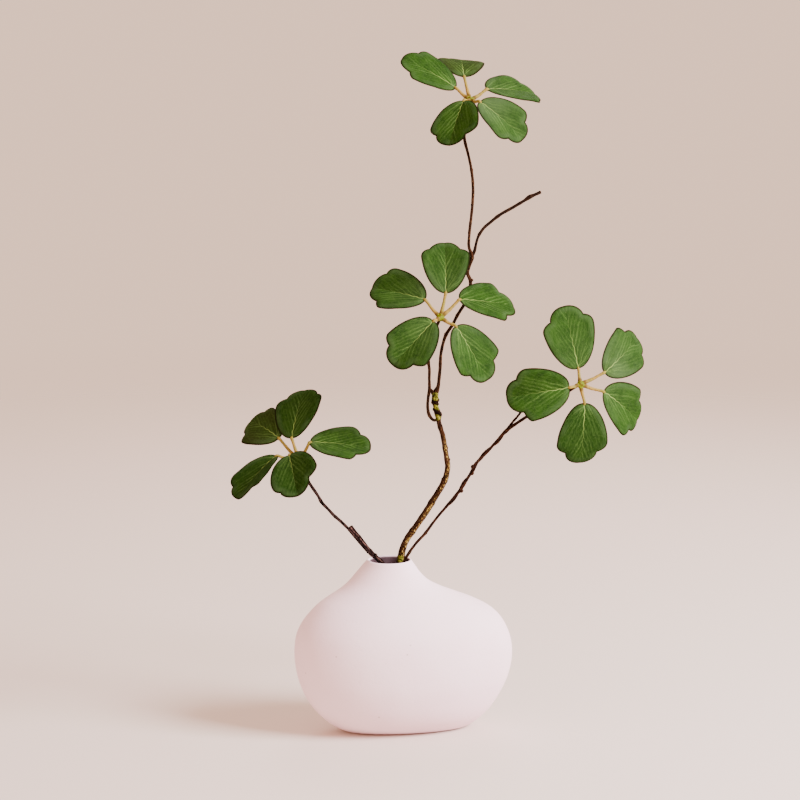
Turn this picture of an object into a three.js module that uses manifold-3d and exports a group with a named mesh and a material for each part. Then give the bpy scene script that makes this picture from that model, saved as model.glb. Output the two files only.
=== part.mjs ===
// Three cut branches with five-leaflet whorls, standing in a low asymmetric bottle vase.
//
// Millimetres, +Z up, front towards -Y. The origin is on the surface the vase stands on, below the middle
// of its foot. Every branch is one solid that forks; each whorl is a boss with five stalks, and each of its
// leaflets is a thin arched blade whose tip is cut into three shallow lobes.

import * as THREE from "three";
import { mergeVertices } from "three/addons/utils/BufferGeometryUtils.js";
import Module from "manifold-3d";

const wasm = await Module();
wasm.setup();

// ---------------------------------------------------------------- driving dimensions (mm, degrees)

// The vase, as level sections from its foot to its lip: [height, left edge, right edge, half depth].
const VASE_OUTSIDE = [
  [0, -50, 42, 15.5],
  [1.2, -54, 45.5, 19],
  [5, -62, 52, 25.5],
  [12, -71, 60, 33],
  [20, -78.5, 66.8, 38],
  [30, -85, 73, 41.8],
  [42, -90, 78.3, 44.8],
  [56, -93, 81.3, 46],
  [69, -93.5, 80.8, 45.8],
  [80, -92, 77.5, 44.3],
  [89, -88, 72.5, 41.5],
  [97, -82, 64.5, 37.3],
  [104.5, -74.3, 51, 32],
  [110.5, -65.5, 36, 27],
  [116, -57, 22.7, 22.6],
  [121.5, -50.6, 13, 19.8],
  [128, -44.9, 6.6, 18],
  [133.5, -40, 2.9, 17],
  [137, -36.8, 0.4, 16.5],
];
const VASE_LIP = [
  [138.2, -35.6, -0.2, 16.1],
  [138.5, -34.5, -0.9, 15.6],
  [138.1, -33.5, -1.5, 15.1],
];
const VASE_INSIDE = [
  [136, -32.8, -1.9, 14.6],
  [129, -33.6, -1.2, 14.1],
  [123, -37.5, 1.2, 14.6],
  [117, -44.5, 7.5, 16.5],
  [109, -56, 22, 20.5],
  [101, -69, 43, 27],
  [93, -78, 59.5, 33],
  [82, -85.5, 70.5, 38.5],
  [62, -88.5, 76.5, 41.5],
  [40, -84, 73, 39.5],
  [22, -74.5, 64.5, 34],
  [12, -64, 54.5, 27.5],
  [7, -50, 42, 16],
];
const VASE_SIDES = 36;
const OUTSIDE_STEPS = 2; // rings made for each outside section, so that the wall curves smoothly

// Branches: [x, y, z, radius] along the middle of each stem, from its cut end in the vase to its tip.
const TRUNK = [
  [-49, 2, 8.2, 2.4],
  [-45, 2, 25, 2.5],
  [-34.5, 1.5, 62, 2.5],
  [-21, 1, 104, 2.5],
  [-12.5, 0.6, 127, 2.5],
  [-8.6, 0.5, 138.5, 2.5],
  [-7, 0, 146.5, 2.6],
  [-4, -0.5, 154, 2.4],
  [5, -2.5, 167.5, 2.4],
  [11, -4, 177, 2.45],
  [20.5, -6.5, 193, 2.3],
  [24.5, -7.5, 200.5, 2.25],
  [26.6, -8.5, 207.5, 2.1],
  [27.2, -9, 214, 2.05],
  [26.4, -9, 220, 2],
  [25.2, -8.5, 228, 1.9],
  [23.2, -8.3, 239, 1.8],
  [20.3, -7.8, 248.5, 1.75],
  [19.7, -7.6, 254.5, 2.6],
  [18, -7.2, 260.5, 2.1],
  [17.4, -7, 266.5, 2.6],
  [17.8, -7, 271.5, 2.4],
  [19.8, -7.4, 277, 1.45],
  [20.5, -7.6, 283, 1.2],
  [21.3, -7.8, 292, 1.15],
  [21.6, -8, 301, 1.15],
  [23.4, -8.2, 310.5, 1.15],
  [26, -8.6, 318, 1.2],
  [31, -10, 326, 1.2],
  [34.5, -11.2, 333.5, 1.15],
  [39, -12.3, 341, 1.2],
  [42.3, -13.3, 350, 1.15],
  [43.9, -13.8, 359.5, 1.35],
  [41.6, -13.5, 366, 1.25],
  [43, -13.6, 371.5, 1.2],
  [45, -14, 379, 1.45],
  [42.6, -13.8, 386, 1.1],
  [42.8, -13.7, 396, 1],
  [44, -13.8, 407, 1.05],
  [45.2, -14, 420, 1],
  [45.5, -14, 433, 1.05],
  [44.2, -13.8, 446, 1],
  [41.6, -13.4, 458, 1],
  [39, -13, 468.5, 1.15],
  [39, -12.5, 478, 1],
  [42.3, -13.3, 495.6, 1.1],
];
const BARE_TWIG = [
  [44.9, -14, 378.5, 1],
  [47.2, -12.4, 382.5, 1.1],
  [48.8, -10.6, 388, 0.95],
  [51, -8.9, 394, 0.9],
  [54.5, -7.5, 399, 0.95],
  [61.5, -5.8, 404.7, 0.85],
  [69, -4.1, 410, 0.9],
  [79, -2.6, 415.2, 0.85],
  [88, -1.3, 420, 0.8],
  [93.6, -0.4, 423, 1.05],
  [97.5, 0.2, 424.6, 0.75],
  [102.5, 1.2, 427, 0.9],
];
const MIDDLE_WHORL_STEM = [
  [20, -7.7, 250.5, 1.2],
  [16, -8, 250.5, 1.2],
  [12.6, -8.6, 254.5, 1.3],
  [11.2, -9.6, 260, 1.1],
  [10.9, -12, 267.5, 1.1],
  [11.4, -15, 275.5, 1.15],
  [10.8, -18, 283.5, 1.05],
  [10.2, -21, 292, 1.05],
  [8.8, -24.2, 300, 1.1],
  [9.3, -28.5, 314, 1],
  [15.1, -34.4, 331.3, 1.1],
];
const TRUNK_HORN = [
  [17.4, -7, 268.5, 2],
  [15.2, -8, 272.5, 1.4],
  [13.7, -9, 274.8, 0.9],
];
const TRUNK_BUDS = [
  [21.4, -8.4, 255.2, 1.5],
  [15.6, -6.4, 264, 1.2],
  [28.2, -9.6, 219, 1],
  [-5.4, -2, 149, 1.5],
  [44.9, -14.4, 360.5, 1.1],
];

const RIGHT_BRANCH = [
  [-69, 10, 28, 1.3],
  [-58, 9.5, 50, 1.3],
  [-38, 8, 86, 1.25],
  [-20, 6.5, 115, 1.25],
  [-11.5, 4.7, 128.5, 1.2],
  [-4.1, 3.4, 138.5, 1.2],
  [4, 4, 149.3, 1.15],
  [12.3, 4.5, 158, 1.2],
  [19.1, 4.6, 167, 1.15],
  [26.6, 4.5, 176, 1.15],
  [33.4, 4, 184, 1.15],
  [39.8, 3.3, 191.8, 1.4],
  [44.6, 3.5, 199, 1.15],
  [48.4, 3.7, 205, 1.2],
  [51.8, 3, 212, 1.2],
  [57, 3, 217.5, 1.15],
  [63, 3, 223.5, 1.1],
  [69.2, 2, 230.8, 1.1],
  [77, 1.6, 239, 1.3],
  [83.6, 1.5, 243.6, 1.15],
  [92.7, 1.6, 249.3, 1.15],
  [104, 1.2, 256.5, 1.1],
  [116, 0, 263.3, 1.05],
  [132, -4.7, 273.7, 1.05],
];
const WINDING_STRAND = {
  from: 0.5, // share of the right branch's length where the strand leaves it
  to: 0.7, // and where it parts from it again
  turns: 2.5,
  offset: 1.1,
  radius: 0.8,
  tip: [
    [81.6, 3.2, 244.6, 0.85],
    [88.6, 4.8, 252.3, 0.85],
    [94.5, 6, 260.5, 0.75],
  ],
};
const RIGHT_BUDS = [
  [41.2, 2.6, 191.4, 1.2],
  [50.4, 2.6, 205.3, 1.1],
  [49.9, 3.4, 210.6, 1.1],
];

const CUT_STUB = [
  [34, -8, 7.9, 1.9],
  [33, -10, 30, 1.9],
  [24, -11, 66, 1.95],
  [4, -10, 100, 1.95],
  [-13, -7.8, 123.5, 1.95],
  [-25, -5.6, 137.5, 1.95],
  [-33.8, -5, 146.4, 1.85],
  [-41.2, -5.1, 155.8, 1.85],
  [-49.6, -5.3, 167, 1.9],
];
const SIDE_SHOOT = [
  [-25.5, -5.8, 137.5, 1.2],
  [-32.6, -6.2, 143.8, 1.3],
  [-38.2, -6.6, 149.8, 1.2],
  [-42.8, -7, 155.2, 1.15],
  [-47.4, -7.2, 160.9, 1.15],
  [-52, -7.3, 166.5, 1.1],
  [-56.6, -7.4, 171.2, 1.15],
  [-62.6, -7.6, 176.8, 1.1],
  [-67.4, -8, 182.2, 1.1],
  [-72.3, -8.1, 187.6, 1.2],
  [-75.6, -8.3, 193.4, 1.1],
  [-79.4, -8.5, 199.2, 1.15],
  [-83, -8.6, 205, 1.1],
  [-86.4, -8.6, 213, 1.1],
  [-88.8, -8.5, 218.5, 1.15],
];
const STUB_BUDS = [[-29.8, -6.6, 143.8, 1.5]];

// How finely round things are made: sides of a section, and mm from ring to ring.
const THICK = { sides: 8, spacing: 7 };
const THIN = { sides: 7, spacing: 6 };
const STRAND = { sides: 6, spacing: 4 };
const STALK = { sides: 6, spacing: 4 };
const BUD_CELLS = [7, 5]; // round and from pole to pole
const BOSS_CELLS = [12, 8];
const STATIONS_PER_TURN = 6; // of the winding strand

// Stalks and blades.
const BOSS_RADIUS = 2.6;
const STALK_RADIUS = 1.1; // at the boss
const STALK_TIP_RADIUS = 0.95; // at the blade
const STALK_GAP = 0.35; // from a stalk's end to its blade
const STALK_SAG = 1;
const STALK_STEPS = 4; // points along each, between which it is straight
const BLADE_THICKNESS = 0.8;
const ACROSS = 2; // cells from the midrib to each edge
// The outline of every blade, as shares of its length: [along, half width] of the points that shape it.
const WIDEST_AT = 0.66;
const END_WIDTH = 0.025; // half width of the blade's very ends
const CUT_WIDTH = 0.265; // half width at the two cuts near the tip
const BASE_SWELL = 0.22; // how wide the rounded base sets out
const SIDE_HANDLE = [0.34, -0.015]; // along, and in from the widest half width
const CORNER_HANDLES = { before: 0.07, nearCut: 0.02, outOfCut: 0.075 };
const TIP_HANDLES = { share: 0.6, width: 0.255, end: 0.15 };
const EDGE_STEPS = { side: 6, corner: 4, tip: 4 };

// Each leaflet is one row, named by where it shows from the front:
//   foot    the base of its blade seen from the boss [x, y, z]
//   clock   the way its midrib points, anticlockwise from +X as the front sees it
//   lean    how far its tip comes forward; a negative lean goes back
//   roll    the blade's turn about its midrib
//   length  of the blade, in mm
//   arch    how far the midrib bends down towards its tip
//   cup     how far the edges lift
//   bend    the midrib's sideways curve, as a share of the length
//   widths  its widest half width left and right of the midrib, as a share of the length
//   cuts    how far along the two cuts stand, left and right of the midrib
const WHORLS = {
  top: {
    boss: [43, -13.5, 498.5],
    leaflets: {
      upper_left: [[-10, 6, 10], 146, -10, -49, 47, 11, 6, 0.04, [0.43, 0.42], [0.77, 0.81]],
      back: [[-1.7, 14.5, 18.5], 82, -57, 7, 44, 33, 3, -0.14, [0.42, 0.4], [0.84, 0.86]],
      right: [[14, 2.6, 9], -3, -23, 62, 48, 11, 14, -0.03, [0.43, 0.42], [0.84, 0.8]],
      lower_right: [[5.6, -10, -0.3], -36, 26, 36, 44.5, 23, 14, 0, [0.42, 0.43], [0.81, 0.81]],
      lower_left: [[-6.7, -8, 0.8], -121, 40, -46, 46, 9, 15, 0, [0.45, 0.4], [0.82, 0.82]],
    },
  },
  middle: {
    boss: [16, -35.3, 334],
    leaflets: {
      upper: [[4.7, 2.2, 19], 85, -24, 11, 44.5, 27, 10, 0.05, [0.41, 0.42], [0.82, 0.79]],
      upper_left: [[-11, 5, 14], 165, -33, -34, 46, 7, 14, 0.08, [0.43, 0.42], [0.78, 0.82]],
      lower_left: [[-6.4, -6, -1.2], -136, 12, -29, 47, 6, 14, -0.02, [0.44, 0.41], [0.79, 0.8]],
      lower_right: [[11.3, -6, -5.8], -59, 13, 26, 48, 7, 8, -0.01, [0.43, 0.43], [0.78, 0.79]],
      upper_right: [[15.3, 0.4, 14.2], -6, -13, 52, 48.5, 10, 6, 0, [0.43, 0.41], [0.79, 0.77]],
    },
  },
  right: {
    boss: [134.5, -5.4, 275.2],
    leaflets: {
      upper: [[-1.1, 1.2, 12.5], 103, 1, -9, 51, 12, 3, -0.02, [0.44, 0.42], [0.81, 0.81]],
      upper_right: [[20, 0.6, 9], 36, -15, -4, 46, 24, 6, 0.01, [0.44, 0.42], [0.81, 0.84]],
      lower_right: [[19.5, -0.4, -6.2], -35, -20, 22, 49.5, 15, 10, -0.03, [0.42, 0.43], [0.79, 0.82]],
      lower: [[3.3, -2.6, -14.8], -92, 3, 6, 50.5, 24, 0, 0.06, [0.43, 0.42], [0.82, 0.81]],
      left: [[-9.6, -4.4, -1.6], -174, 9, 0, 51.5, 20, 14, 0.06, [0.42, 0.42], [0.77, 0.82]],
    },
  },
  left: {
    boss: [-90, -8.5, 221.3],
    leaflets: {
      upper_left: [[-14.2, 14.5, 16.2], 143, -50, -14, 44, 29, 1, 0.12, [0.44, 0.41], [0.8, 0.8]],
      upper: [[-5.3, 5.5, 17.5], 72, -35, 44, 47.5, 14, 5, 0.04, [0.43, 0.43], [0.83, 0.79]],
      right: [[8.8, 2.5, 14.6], -3, 13, 59, 47.5, 6, 11, 0.05, [0.42, 0.43], [0.82, 0.77]],
      lower: [[-8.9, -6.6, 6.7], -90, 66, -28, 47.5, 15, 13, -0.08, [0.44, 0.39], [0.77, 0.85]],
      lower_left: [[-17.7, 3.1, 4.4], -144, 17, -76, 46.5, 14, 15, 0.07, [0.44, 0.42], [0.75, 0.84]],
    },
  },
};

// ---------------------------------------------------------------- materials

const finish = (color, roughness) => new THREE.MeshStandardMaterial({ color, roughness, metalness: 0 });
const bisque = finish(0xeadcdd, 0.85);
const bark = finish(0x5a3320, 0.8);
const stalkSkin = finish(0xb79445, 0.6);
const leafSkin = finish(0x4c6b24, 0.45);

// ---------------------------------------------------------------- shared geometry

/** A closed surface over rings of equal size, with a fan to a middle point at each end. */
function closedLoft(rings) {
  const sides = rings[0].length;
  const points = rings.flat();
  const faces = [];
  for (let r = 0; r < rings.length - 1; r += 1) {
    for (let i = 0; i < sides; i += 1) {
      const a = r * sides + i;
      const b = r * sides + ((i + 1) % sides);
      faces.push(a, b, b + sides, a, b + sides, a + sides);
    }
  }
  for (const [ring, first] of [[rings[0], 0], [rings.at(-1), points.length - sides]]) {
    const middle = points.length;
    points.push(ring.reduce((sum, p) => sum.add(p), new THREE.Vector3()).divideScalar(sides));
    for (let i = 0; i < sides; i += 1) {
      const next = first + ((i + 1) % sides);
      faces.push(...(first === 0 ? [middle, next, first + i] : [middle, first + i, next]));
    }
  }
  return indexed(points, faces);
}

/** A geometry from points and triangles that share them. */
function indexed(points, faces) {
  const geometry = new THREE.BufferGeometry().setFromPoints(points);
  geometry.setIndex(faces);
  geometry.computeVertexNormals();
  return geometry;
}

/** A smooth curve through the middles of [x, y, z, radius] points. */
function curveThrough(points) {
  const middles = points.map(([x, y, z]) => new THREE.Vector3(x, y, z));
  return new THREE.CatmullRomCurve3(middles, false, "centripetal");
}

/** A round stem through [x, y, z, radius] points, with a ring about every `spacing` mm. */
function stem(points, { sides, spacing }) {
  const curve = curveThrough(points);
  const steps = Math.max(2, Math.round(curve.getLength() / spacing));
  const frames = curve.computeFrenetFrames(steps, false);
  const rings = [];
  for (let k = 0; k <= steps; k += 1) {
    const along = curve.getUtoTmapping(k / steps) * (points.length - 1);
    const low = Math.min(Math.floor(along), points.length - 2);
    const radius = THREE.MathUtils.lerp(points[low][3], points[low + 1][3], along - low);
    const middle = curve.getPointAt(k / steps);
    rings.push(circle(middle, frames.normals[k], frames.binormals[k], radius, sides));
  }
  return closedLoft(rings);
}

/** Points of a circle about `middle`, in the plane of two unit vectors. */
function circle(middle, normal, binormal, radius, sides) {
  return Array.from({ length: sides }, (_, i) => {
    const angle = (2 * Math.PI * i) / sides;
    return middle.clone()
      .addScaledVector(normal, radius * Math.cos(angle))
      .addScaledVector(binormal, radius * Math.sin(angle));
  });
}

/** A small round swelling at [x, y, z, radius]. */
function bud([x, y, z, radius]) {
  return new THREE.SphereGeometry(radius, ...BUD_CELLS).translate(x, y, z);
}

/** Joins closed geometries into one solid. */
function fuse(geometries) {
  const solids = geometries.map((geometry) => {
    const bare = geometry.clone();
    bare.deleteAttribute("normal");
    bare.deleteAttribute("uv");
    const merged = mergeVertices(bare, 1e-5);
    return new wasm.Manifold(new wasm.Mesh({
      numProp: 3,
      vertProperties: new Float32Array(merged.attributes.position.array),
      triVerts: new Uint32Array(merged.index.array),
    }));
  });
  const mesh = solids.reduce((sum, solid) => sum.add(solid)).getMesh();
  const joined = new THREE.BufferGeometry();
  joined.setAttribute("position", new THREE.BufferAttribute(mesh.vertProperties, 3));
  joined.setIndex(new THREE.BufferAttribute(mesh.triVerts, 1));
  joined.computeVertexNormals();
  return joined;
}

// ---------------------------------------------------------------- vase

/** Level sections with `steps` rings to each, on smooth curves through the given ones. */
function smoothSections(sections, steps) {
  const edges = new THREE.CatmullRomCurve3(
    sections.map(([z, left, right]) => new THREE.Vector3(left, right, z)));
  const depths = new THREE.CatmullRomCurve3(sections.map(([z, , , half]) => new THREE.Vector3(half, 0, z)));
  const count = (sections.length - 1) * steps;
  return Array.from({ length: count + 1 }, (_, i) => {
    const edge = edges.getPoint(i / count);
    return [edge.z, edge.x, edge.y, depths.getPoint(i / count).x];
  });
}

/** The hollow vase: out and up from its foot, over the lip, and down inside to its floor. */
function vase() {
  const sections = [...smoothSections(VASE_OUTSIDE, OUTSIDE_STEPS), ...VASE_LIP, ...VASE_INSIDE];
  const rings = sections.map(([z, left, right, half]) => {
    const middle = (left + right) / 2;
    const across = (right - left) / 2;
    return Array.from({ length: VASE_SIDES }, (_, i) => {
      const angle = (2 * Math.PI * i) / VASE_SIDES;
      return new THREE.Vector3(middle + across * Math.cos(angle), half * Math.sin(angle), z);
    });
  });
  return closedLoft(rings);
}

// ---------------------------------------------------------------- branches

/** The middle branch: mossy trunk, leader, bare twig and the stem of the whorl in front. */
function middleBranch() {
  return fuse([
    stem(TRUNK, THICK),
    stem(BARE_TWIG, THIN),
    stem(MIDDLE_WHORL_STEM, THIN),
    stem(TRUNK_HORN, THIN),
    ...TRUNK_BUDS.map(bud),
  ]);
}

/** The right branch, with a thinner strand that winds round it and ends as a bare tip. */
function rightBranch() {
  const strand = WINDING_STRAND;
  const curve = curveThrough(RIGHT_BRANCH);
  const stations = Math.round(strand.turns * STATIONS_PER_TURN);
  const frames = curve.computeFrenetFrames(stations, false);
  const winding = Array.from({ length: stations + 1 }, (_, k) => {
    const share = k / stations;
    const angle = 2 * Math.PI * strand.turns * share;
    const middle = curve.getPointAt(THREE.MathUtils.lerp(strand.from, strand.to, share));
    middle.addScaledVector(frames.normals[k], strand.offset * Math.cos(angle));
    middle.addScaledVector(frames.binormals[k], strand.offset * Math.sin(angle));
    return [middle.x, middle.y, middle.z, strand.radius];
  });
  return fuse([
    stem(RIGHT_BRANCH, THIN),
    stem([...winding, ...strand.tip], STRAND),
    ...RIGHT_BUDS.map(bud),
  ]);
}

/** The left branch: a short cut stub with the side shoot that carries the whorl. */
function leftBranch() {
  return fuse([
    stem(CUT_STUB, THICK),
    stem(SIDE_SHOOT, THIN),
    ...STUB_BUDS.map(bud),
  ]);
}

// ---------------------------------------------------------------- leaflets

/** The way a leaflet lies: its midrib, its left-hand side and the normal of its upper face. */
function bladeAxes(clock, lean, roll) {
  const [c, l, r] = [clock, lean, roll].map(THREE.MathUtils.degToRad);
  const midrib = new THREE.Vector3(Math.cos(c) * Math.cos(l), -Math.sin(l), Math.sin(c) * Math.cos(l));
  const front = new THREE.Vector3(0, -1, 0);
  const upright = front.addScaledVector(midrib, -front.dot(midrib)).normalize();
  const sideways = new THREE.Vector3().crossVectors(upright, midrib);
  const normal = upright.multiplyScalar(Math.cos(r)).addScaledVector(sideways, Math.sin(r));
  return { midrib, side: new THREE.Vector3().crossVectors(normal, midrib), normal };
}

/** One edge of a blade of length 1, from base to tip: widest, then a cut, then the middle lobe. */
function bladeEdge(width, cutAt) {
  const point = (x, y) => new THREE.Vector2(x, y);
  const widest = point(WIDEST_AT, width);
  const cut = point(cutAt, CUT_WIDTH);
  const side = [
    point(0, END_WIDTH),
    point(0, BASE_SWELL),
    point(SIDE_HANDLE[0], width + SIDE_HANDLE[1]),
    widest,
  ];
  const corner = [
    widest,
    point(cutAt - CORNER_HANDLES.before, width),
    point(cutAt - CORNER_HANDLES.nearCut, CUT_WIDTH + CORNER_HANDLES.outOfCut),
    cut,
  ];
  const tip = [
    cut,
    point(cutAt + TIP_HANDLES.share * (1 - cutAt), TIP_HANDLES.width),
    point(1, TIP_HANDLES.end),
    point(1, END_WIDTH),
  ];
  const curves = [[EDGE_STEPS.side, ...side], [EDGE_STEPS.corner, ...corner], [EDGE_STEPS.tip, ...tip]];
  return curves.flatMap(([steps, ...handles], n) =>
    new THREE.CubicBezierCurve(...handles).getPoints(steps).slice(n === 0 ? 0 : 1));
}

/** An arched, cupped blade with its foot at the origin, its tip towards +X and its upper face up. */
function blade(length, arch, cup, bend, widths, cuts) {
  const [left, right] = cuts.map((cutAt, i) => bladeEdge(widths[i], cutAt));
  const [archAngle, cupAngle] = [arch, cup].map(THREE.MathUtils.degToRad);
  const above = [];
  const below = [];
  left.forEach((leftPoint, row) => {
    const rightPoint = right[row];
    const middle = (leftPoint.x + rightPoint.x) / 2;
    for (let column = -ACROSS; column <= ACROSS; column += 1) {
      const share = Math.abs(column) / ACROSS;
      const edge = column < 0 ? leftPoint : rightPoint;
      const along = THREE.MathUtils.lerp(middle, edge.x, share);
      const offset = edge.y * share * -Math.sign(column);
      const turn = archAngle * along;
      const lift = Math.abs(offset) * Math.sin(cupAngle);
      const x = Math.sin(turn) / archAngle - bend * along * offset + Math.sin(turn) * lift;
      const y = offset * Math.cos(cupAngle) + (bend * along * along) / 2;
      const z = (Math.cos(turn) - 1) / archAngle + Math.cos(turn) * lift;
      const surface = new THREE.Vector3(x, y, z).multiplyScalar(length);
      const half = new THREE.Vector3(Math.sin(turn), 0, Math.cos(turn)).multiplyScalar(BLADE_THICKNESS / 2);
      above.push(surface.clone().add(half));
      below.push(surface.clone().sub(half));
    }
  });
  return sheet(above, below, 2 * ACROSS + 1);
}

/** A closed sheet between two like grids of points, split into the same triangles on both faces. */
function sheet(above, below, columns) {
  const faces = [];
  const under = above.length;
  const rows = under / columns;
  const quad = (a, b, c, d) => faces.push(a, b, c, a, c, d);
  for (let r = 0; r < rows - 1; r += 1) {
    for (let c = 0; c < columns - 1; c += 1) {
      const a = r * columns + c;
      const d = a + columns;
      quad(a, a + 1, d + 1, d);
      faces.push(under + a, under + d + 1, under + a + 1, under + a, under + d, under + d + 1);
    }
    const first = r * columns;
    const last = first + columns - 1;
    quad(first, first + columns, under + first + columns, under + first);
    quad(last + columns, last, under + last, under + last + columns);
  }
  for (let c = 0; c < columns - 1; c += 1) {
    const end = (rows - 1) * columns + c;
    quad(c + 1, c, under + c, under + c + 1);
    quad(end, end + 1, under + end + 1, under + end);
  }
  return indexed([...above, ...below], faces);
}

/** A leaflet's stalk, from inside the boss to just short of the blade's foot, with a slight sag. */
function stalk(foot, midrib) {
  const way = foot.clone().normalize();
  const slant = way.clone().cross(midrib).length();
  const end = foot.clone().addScaledVector(way, -STALK_GAP - STALK_TIP_RADIUS * slant);
  const start = way.clone().multiplyScalar(BOSS_RADIUS / 3);
  const middle = start.clone().add(end).multiplyScalar(0.5).add(new THREE.Vector3(0, 0, -STALK_SAG));
  const points = new THREE.QuadraticBezierCurve3(start, middle, end).getPoints(STALK_STEPS).map((p, i) =>
    [p.x, p.y, p.z, THREE.MathUtils.lerp(STALK_RADIUS, STALK_TIP_RADIUS, i / STALK_STEPS)]);
  return stem(points, STALK);
}

// ---------------------------------------------------------------- the arrangement

function piece(name, geometry, material) {
  const mesh = new THREE.Mesh(geometry, material);
  mesh.name = name;
  return mesh;
}

/** One whorl, at its boss: the stalks as one piece and each leaflet as its own. */
function whorl(name, { boss, leaflets }) {
  const group = new THREE.Group();
  group.position.set(...boss);
  const stalks = [new THREE.SphereGeometry(BOSS_RADIUS, ...BOSS_CELLS)];
  for (const [place, row] of Object.entries(leaflets)) {
    const [foot, clock, lean, roll, ...form] = row;
    const axes = bladeAxes(clock, lean, roll);
    const leaflet = piece(`${name}_leaflet_${place}`, blade(...form), leafSkin);
    leaflet.position.set(...foot);
    leaflet.setRotationFromMatrix(new THREE.Matrix4().makeBasis(axes.midrib, axes.side, axes.normal));
    group.add(leaflet);
    stalks.push(stalk(leaflet.position, axes.midrib));
  }
  group.add(piece(`${name}_whorl_stalks`, fuse(stalks), stalkSkin));
  return group;
}

const arrangement = new THREE.Group();
arrangement.add(piece("vase", vase(), bisque));
arrangement.add(piece("middle_branch", middleBranch(), bark));
arrangement.add(piece("right_branch", rightBranch(), bark));
arrangement.add(piece("left_branch", leftBranch(), bark));
for (const [name, parts] of Object.entries(WHORLS)) {
  arrangement.add(whorl(name, parts));
}

export default arrangement;
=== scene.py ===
"""The looks of a branch arrangement in a bisque bottle vase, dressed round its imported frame.

Lengths are in millimetres until a mesh is made, +Z is up and the front looks towards -Y. Every piece lies
where its CAD node lies: it follows the same knots or the same leaflet row, with a finer mesh, bark, veins
and speckles.
"""

import logging
import math
from collections.abc import Callable
from dataclasses import dataclass, field
from enum import Enum
from functools import reduce

import bpy
import numpy as np
from bpy.types import ID, Material, Mesh, Node, NodeSocket, Object
from mathutils import Matrix, Vector, kdtree, noise


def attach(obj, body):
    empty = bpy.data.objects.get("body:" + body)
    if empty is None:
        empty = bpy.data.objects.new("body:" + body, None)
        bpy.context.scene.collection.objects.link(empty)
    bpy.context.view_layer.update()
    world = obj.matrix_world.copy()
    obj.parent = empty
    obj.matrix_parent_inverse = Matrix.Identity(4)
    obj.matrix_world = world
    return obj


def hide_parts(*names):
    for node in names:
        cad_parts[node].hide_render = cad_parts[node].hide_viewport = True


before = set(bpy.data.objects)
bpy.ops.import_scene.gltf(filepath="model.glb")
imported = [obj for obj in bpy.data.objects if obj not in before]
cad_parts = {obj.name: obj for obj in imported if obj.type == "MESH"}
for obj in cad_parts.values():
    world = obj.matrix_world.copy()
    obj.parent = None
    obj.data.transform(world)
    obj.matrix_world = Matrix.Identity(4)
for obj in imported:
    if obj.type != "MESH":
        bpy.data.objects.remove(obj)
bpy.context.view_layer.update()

MM = 0.001
TURN = 2 * np.pi
DOME = 0.25  # how far a tube's end bulges, as a share of its radius
BALL_SIZE = (14, 20)  # the rows and sides of a round shell
CURVE_STEPS = 24  # points between two knots when a path is measured
STEM_OFFSET = 1000.0  # keeps the grain of one stem apart from the next one's
SPOT_CORE = 0.45  # the share of a spot's radius where its mask begins to fall
MIX_A, MIX_B, MIX_RESULT = 6, 7, 2  # the Mix node's sockets for colours

Place = tuple[float, float, float]
Color = tuple[float, float, float]
Knot = tuple[float, float, float, float]
Spot = tuple[Place, float]
Key = int | str
Array = np.ndarray

log = logging.getLogger("arrangement")


# ---------------------------------------------------------------- shader graphs


def math_method(operation: str, swapped: bool = False) -> Callable[..., "Signal"]:
    """Makes a method of Signal that adds a Math node.

    Args:
        operation: The node's operation.
        swapped: Whether the signal comes last, as in a reflected operator.

    Returns:
        The method.
    """

    def method(self: "Signal", *others: "Value") -> "Signal":
        """The operation's outcome."""
        return self.graph.math(operation, *((*others, self) if swapped else (self, *others)))

    return method


@dataclass(frozen=True, eq=False)
class Signal:
    """One output of a node, with Python's arithmetic on it."""

    graph: "ShaderGraph"
    node: Node
    output: Key = 0

    __add__ = __radd__ = math_method("ADD")
    __sub__ = math_method("SUBTRACT")
    __rsub__ = math_method("SUBTRACT", swapped=True)
    __mul__ = math_method("MULTIPLY")
    __truediv__ = math_method("DIVIDE")
    __abs__ = math_method("ABSOLUTE")
    most = math_method("MAXIMUM")
    least = math_method("MINIMUM")
    sign = math_method("SIGN")
    whole = math_method("ROUND")
    root = math_method("SQRT")
    swing = math_method("PINGPONG")  # the distance from the nearest whole multiple of twice its reach

    def at(self, output: Key) -> "Signal":
        """Another output of the same node."""
        return Signal(self.graph, self.node, output)

    def rise(self, low: "Value", high: "Value") -> "Signal":
        """A smooth step, from 0 at low to 1 at high."""
        inputs = {0: self, 1: low, 2: high}
        return self.graph.node("ShaderNodeMapRange", {"interpolation_type": "SMOOTHSTEP"}, inputs)


Value = Signal | float | Color


class Cells(Enum):
    """What a field of random cells measures: the distance to a cell's point, or to its edge."""

    POINT = "F1"
    EDGE = "DISTANCE_TO_EDGE"


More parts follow.
